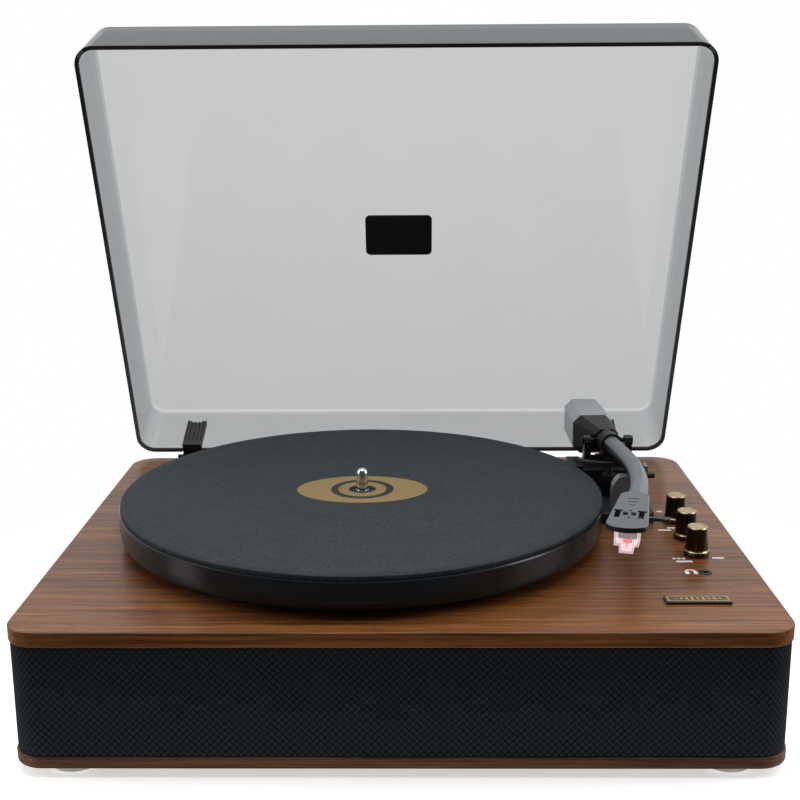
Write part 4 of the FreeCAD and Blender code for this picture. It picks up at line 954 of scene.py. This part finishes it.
@dataclass
class Controls:
    """Knobs, jack, badge and the marks printed on the deck."""

    bronze: Colour = shade(204, 182, 142)
    gold: Colour = shade(196, 168, 104)
    ink_rise: float = 0.00006
    badge_margin: float = 0.0012
    relief_rise: float = 0.0002
    relief_edge: float = 0.0009
    relief_row: float = 0.8
    relief_bar: Flat = (0.5, 0.62)
    relief_steps: tuple[float, ...] = (0.3, 0.55, 0.8, 1.0, 0.7, 0.9, 0.5, 0.75, 0.35)
    labels: tuple[Label, ...] = (
        Label(Mark.DOTS, "volume_knob", (-0.0115, -0.0068), 0.0052),
        Label(Mark.BAR, "volume_knob", (-0.0093, -0.0114), 0.0092),
        Label(Mark.BAR, "volume_knob", (0.0113, -0.0059), 0.0068),
        Label(Mark.BAR, "source_knob", (-0.0099, 0.0140), 0.0078),
        Label(Mark.DOTS, "source_knob", (-0.0043, 0.0180), 0.0044),
        Label(Mark.BAR, "speed_knob", (-0.0063, 0.0191), 0.0034),
        Label(Mark.HEADPHONES, "headphone_jack", (-0.0080, 0.0010), 0.0068))

    def print_labels(self) -> None:
        """Print the marks on the deck in white."""
        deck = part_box("top_board")[1].z
        mesh = bmesh.new()
        for label in self.labels:
            for outline in label.outlines():
                prism(mesh, outline, deck, deck + self.ink_rise)
        Builder("deck_print", "plinth", PrintInk("white_ink"), "guard_clear").add(mesh, smooth=False)

    def raise_badge(self) -> None:
        """Raise a gold frame and a row of plain bars on the badge."""
        low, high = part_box("name_badge")
        x, y = middle("name_badge").xy
        width, depth = (side - 2 * self.badge_margin for side in (high - low).xy)
        top, edge = high.z + self.relief_rise, 2 * self.relief_edge
        mesh = bmesh.new()
        ring_plate(mesh, bar((x, y), width, depth), bar((x, y), width - edge, depth - edge), high.z, top)
        pitch = width * self.relief_row / len(self.relief_steps)
        for index, share in enumerate(self.relief_steps):
            aside = (index - (len(self.relief_steps) - 1) / 2) * pitch
            prism(mesh, bar((x + aside, y), pitch * self.relief_bar[0], depth * self.relief_bar[1] * share),
                  high.z, top)
        Builder("badge_relief", "plinth", PrintInk("badge_gold", colour=self.gold, metallic=0.8,
                                                   roughness=0.3), "badge").add(mesh, smooth=False)

    def build(self) -> None:
        """Dress the knobs, the jack and the badge, and print the marks."""
        self.print_labels()
        self.raise_badge()
        for name in ("volume_knob", "source_knob", "speed_knob"):
            spot = middle(name)
            # The knobs keep only 13% of the bronze on their sides: painted shade below bright tops.
            dress([name], TurnedMetal(f"bronze_{name}", colour=self.bronze, roughness=0.13,
                                      axis=(spot.x, spot.y), rings=3600.0, depth=0.000004, flank_shade=0.13))
        dress(["headphone_jack"], Moulded("jack_plastic", colour=shade(15, 15, 16), roughness=0.3))
        dress(["name_badge"], Moulded("badge_black", colour=shade(14, 14, 15), roughness=0.25, coat=0.5))


@dataclass
class Turntable:
    """Platter, felt mat, spindle and the belt drive below."""

    emblem_colour: Colour = shade(150, 127, 80)
    emblem: Flat = (0.0405, 0.0275)
    emblem_ring: Flat = (0.0195, 0.0150)
    emblem_hole: float = 0.0085
    print_rise: float = 0.00005
    mat_hole: float = 0.0042
    mat_round: float = 0.0006
    mat_under: float = 0.0003
    mat_bulge: float = 0.3
    mat_rings: int = 26
    mat_steps: int = 160
    mat_wave: float = 0.00006
    mat_waves: float = 410.0

    def felt_mat(self) -> None:
        """Cut the felt mat with its spindle hole, a soft edge and a faintly uneven top."""
        low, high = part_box("slipmat")
        outer, top = (high.x - low.x) / 2, high.z - self.mat_wave
        flat, bulge = outer - self.mat_round, self.mat_round * self.mat_bulge
        profile = [(self.mat_hole, low.z), (outer - self.mat_under, low.z), (outer, low.z + self.mat_round),
                   (outer, top - self.mat_round), (outer - bulge, top - bulge), (flat, top)]
        for ring in range(1, self.mat_rings + 1):
            radius = flat - (flat - self.mat_hole) * ring / self.mat_rings
            profile.append((radius, top + self.mat_wave * math.sin(radius * self.mat_waves)))
        mesh = bmesh.new()
        turned(mesh, profile, middle("slipmat").xy, self.mat_steps)
        mat = Builder("felt_mat", "turntable", Felt("mat_felt"), "felt").add(mesh, stands_for=["slipmat"])

    def print_emblem(self) -> None:
        """Print an oval with a plain record on the mat."""
        centre = middle("slipmat").xy
        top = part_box("slipmat")[1].z
        low, high = top - self.mat_wave, top + self.print_rise
        outer, inner = self.emblem_ring
        hole = self.emblem_hole
        mesh = bmesh.new()
        ring_plate(mesh, oval(centre, *self.emblem), oval(centre, outer, outer), low, high)
        ring_plate(mesh, oval(centre, inner, inner), oval(centre, hole, hole), low, high)
        Builder("mat_emblem", "turntable", PrintInk("emblem_gold", colour=self.emblem_colour, metallic=0.25,
                                                    roughness=0.6), "badge").add(mesh, smooth=False)

    def build(self) -> None:
        """Dress the turning parts and lay the felt mat on the platter."""
        dress(["platter"], GlossLacquer("platter_lacquer"))
        spot = middle("spindle")
        dress(["spindle"], TurnedMetal("spindle_steel", colour=shade(205, 207, 210), roughness=0.12,
                                       axis=(spot.x, spot.y)))
        dress(["motor_pulley", "motor_bushes", "bearing_housing"], TurnedMetal(
            "bearing_brass", colour=shade(176, 142, 80), roughness=0.25, axis=(spot.x, spot.y)))
        dress(["motor"], Metal("motor_can", colour=shade(150, 152, 155), roughness=0.3))
        dress(["drive_belt"], Rubber("belt_rubber", colour=shade(20, 20, 21)))
        self.felt_mat()
        self.print_emblem()


@dataclass
class Tonearm:
    """Arm base, pivot, tube, weight, headshell and cartridge."""

    # The tube's faces that look down and to the left take a near-black colour: painted shade along its
    # underside.
    grey: Moulded = field(default_factory=lambda: Moulded("arm_grey", colour=shade(107, 111, 114),
                                                          roughness=0.32, grain=1500.0, depth=0.00002,
                                                          toward=(-0.75, 0.0, -0.66), reach=(0.3, 0.6)))
    # The headshell's sides and underside take a near-black colour: painted shade.
    shell: Moulded = field(default_factory=lambda: Moulded("shell_grey_painted_shade", colour=shade(95, 99, 102),
                                                           roughness=0.3, grain=1500.0, depth=0.00002,
                                                           toward=(0.0, 0.0, -1.0), reach=(-0.65, -0.3)))
    dark: Moulded = field(default_factory=lambda: Moulded("arm_dark", colour=shade(22, 25, 27),
                                                          roughness=0.32))

    def build(self) -> None:
        """Dress every part of the arm."""
        dress(["arm_tube"], self.grey)
        dress(["arm_rest"], Moulded("rest_grey", colour=shade(118, 122, 125), roughness=0.32))
        dress(["headshell"], self.shell)
        dress(["arm_housing", "arm_yoke"], self.dark)
        dress(["finger_lift"], Moulded("lift_green", colour=shade(42, 54, 54), roughness=0.3))
        dress(["pivot_screws", "headshell_screws"],
              Metal("blacked_steel", colour=shade(52, 53, 55), roughness=0.35))
        dress(["counterweight"], Moulded("weight_grey", colour=shade(157, 161, 164), roughness=0.34,
                                         grain=1500.0, depth=0.00002))
        dress(["tonearm_base", "cue_lift", "cue_lever", "cartridge"], Moulded("arm_base_black"))
        dress(["arm_pivot_post"], Metal("pivot_steel"))
        # The red stylus and the milky guard emit light in their own colours: painted light.
        dress(["stylus"], ClearPlastic("stylus_red", colour=shade(235, 40, 32), cover=0.95, painted_glow=1.0))
        dress(["stylus_guard"], ClearPlastic("guard_clear", colour=shade(240, 226, 231),
                                             cover=0.08, painted_glow=1.25, edge=0.26))


@dataclass
class DustCover:
    """Tinted cover with its hinge leaves, bumpers and plate."""

    front_depth: float = 0.0095

    def build(self) -> None:
        """Dress the cover and what is fixed to it."""
        hinge = next(joint for joint in frame["joints"] if joint["name"] == "lid_hinge")
        angle = math.radians(-hinge["range_deg"][0])
        normal = Vector((0.0, math.sin(angle), math.cos(angle)))
        forward = Vector((0.0, -math.cos(angle), math.sin(angle)))
        corners = frame["nodes"]["dust_cover"].data.vertices
        level = min(corner.co.dot(normal) for corner in corners)
        front = max(corner.co.dot(forward) for corner in corners)
        dress(["dust_cover"], SmokedAcrylic(
            "smoked_acrylic", rim_normal=tuple(normal), rim_level=level, front_normal=tuple(forward),
            front_level=front - self.front_depth))
        dress(["cover_plate", "hinge_leaf_left", "hinge_leaf_right"], Moulded("hinge_black", roughness=0.38))
        dress(["hinge_base_left", "hinge_base_right"], Metal("hinge_steel", colour=shade(60, 61, 63),
                                                             roughness=0.4))
        dress(["cover_bumpers"], Rubber("bumper_rubber", colour=shade(92, 95, 97)))


@dataclass(frozen=True)
class Lamp:
    """A soft rectangular light: its name, place, target, width and height, and power in watts."""

    name: str
    place: Point
    target: Point
    size: Flat
    power: float

    def hang(self) -> None:
        """Hang it so that it faces its target."""
        data = bpy.data.lights.new(self.name, "AREA")
        data.shape = "RECTANGLE"
        data.size, data.size_y = self.size
        data.energy = self.power
        made = bpy.data.objects.new(self.name, data)
        made.location = self.place
        made.rotation_mode = "QUATERNION"
        made.rotation_quaternion = (Vector(self.target) - Vector(self.place)).to_track_quat("-Z", "Y")
        bpy.context.scene.collection.objects.link(made)


@dataclass
class Studio:
    """Floor, soft lights, surroundings and camera."""

    eye: Point = (0.00859, -0.72971, 0.33441)
    pitch: float = 0.232
    yaw: float = -0.013
    roll: float = -0.006
    lens: float = 55.34
    sensor: float = 36.0
    sight: Flat = (0.01, 60.0)
    room_reach: Flat = (-0.45, 0.55)
    room_light: Flat = (0.11, 0.95)
    floor_radius: float = 0.6
    floor_half: Flat = (0.19, 0.15)
    floor_fade: Flat = (0.16, 0.02)
    lamps: tuple[Lamp, ...] = (
        Lamp("overhead", (0.0, 0.25, 1.35), (0.0, 0.0, 0.1), (1.5, 1.2), 15.0),
        Lamp("left_strip", (-1.3, -0.2, 0.5), (0.0, 0.0, 0.1), (0.35, 1.0), 7.0),
        Lamp("right_soft", (1.3, -0.1, 0.8), (0.1, 0.0, 0.1), (0.7, 0.9), 8.0))

    def floor(self) -> None:
        """Lay a wide pale floor."""
        mesh = bmesh.new()
        bmesh.ops.create_circle(mesh, cap_ends=True, segments=96, radius=self.floor_radius)
        data = bpy.data.meshes.new("floor")
        mesh.to_mesh(data)
        mesh.free()
        recipe = Recipe("floor_paper")
        place = recipe.place()
        grain = recipe.noise(place, 900.0, 2.0)
        aside = (recipe.along(place, (1.0, 0.0, 0.0)).apart() - self.floor_half[0]).most(0.0)
        along = (recipe.along(place, (0.0, 1.0, 0.0)).apart() - self.floor_half[1]).most(0.0)
        away = (aside * aside + along * along) ** 0.5
        recipe.set(Base_Color=recipe.blend(grain * 0.1, (0.9, 0.9, 0.9), (0.86, 0.86, 0.86)), Roughness=0.9,
                   Specular_IOR_Level=0.0, Emission_Color=(1.0, 1.0, 1.0), Emission_Strength=0.55,
                   Alpha=away.band(*self.floor_fade))
        data.materials.append(recipe.material)
        made = bpy.data.objects.new("floor", data)
        bpy.context.scene.collection.objects.link(made)

    def surroundings(self) -> None:
        """White to the eye, and a soft room that is darker towards the front as light."""
        world = bpy.data.worlds.new("studio")
        bpy.context.scene.world = world
        tree = NodeTree(world)
        backwards = tree.signal("ShaderNodeSeparateXYZ", "Y", None,
                                {0: tree.signal("ShaderNodeTexCoord", "Generated")})
        dim, bright = self.room_light
        strength = backwards.band(*self.room_reach) * (bright - dim) + dim
        room = tree.signal("ShaderNodeBackground", 0, None, {"Strength": strength})
        seen = tree.signal("ShaderNodeBackground", 0, None, {"Color": WHITE, "Strength": 1.0})
        direct = tree.signal("ShaderNodeLightPath", "Is Camera Ray")
        shown = tree.signal("ShaderNodeMixShader", 0, None, {0: direct, 1: room, 2: seen})
        tree.node("ShaderNodeOutputWorld", None, {"Surface": shown})

    def camera(self) -> None:
        """Stand the camera at the viewing angle."""
        flat = math.cos(self.pitch)
        forward = Vector((math.sin(self.yaw) * flat, math.cos(self.yaw) * flat, -math.sin(self.pitch)))
        level = Vector((math.cos(self.yaw), -math.sin(self.yaw), 0.0))
        upright = level.cross(forward)
        right = level * math.cos(self.roll) + upright * math.sin(self.roll)
        up = upright * math.cos(self.roll) - level * math.sin(self.roll)
        data = bpy.data.cameras.new("camera")
        data.sensor_width = self.sensor
        data.lens = self.lens
        data.clip_start, data.clip_end = self.sight
        made = bpy.data.objects.new("camera", data)
        turn = Matrix((right, up, -forward)).transposed().to_4x4()
        made.matrix_world = Matrix.Translation(self.eye) @ turn
        bpy.context.scene.collection.objects.link(made)
        bpy.context.scene.camera = made

    def build(self) -> None:
        """Set the whole stage."""
        self.floor()
        self.surroundings()
        for lamp in self.lamps:
            lamp.hang()
        self.camera()
        bpy.context.scene.view_settings.view_transform = "Standard"


def main() -> None:
    """Build every sub-assembly in order and report each."""
    logging.basicConfig(level=logging.INFO, format="%(name)s: %(message)s")
    parts: list[tuple[str, Callable[[], None]]] = [
        ("studio", Studio().build), ("plinth", Plinth().build), ("grille cloth", GrilleCloth().build),
        ("speakers", Speakers().build), ("rear sockets", RearSockets().build),
        ("controls", Controls().build), ("turntable", Turntable().build), ("tonearm", Tonearm().build),
        ("dust cover", DustCover().build)]
    for name, build in parts:
        build()
        LOG.info("%s built", name)


if __name__ == "__main__":
    main()
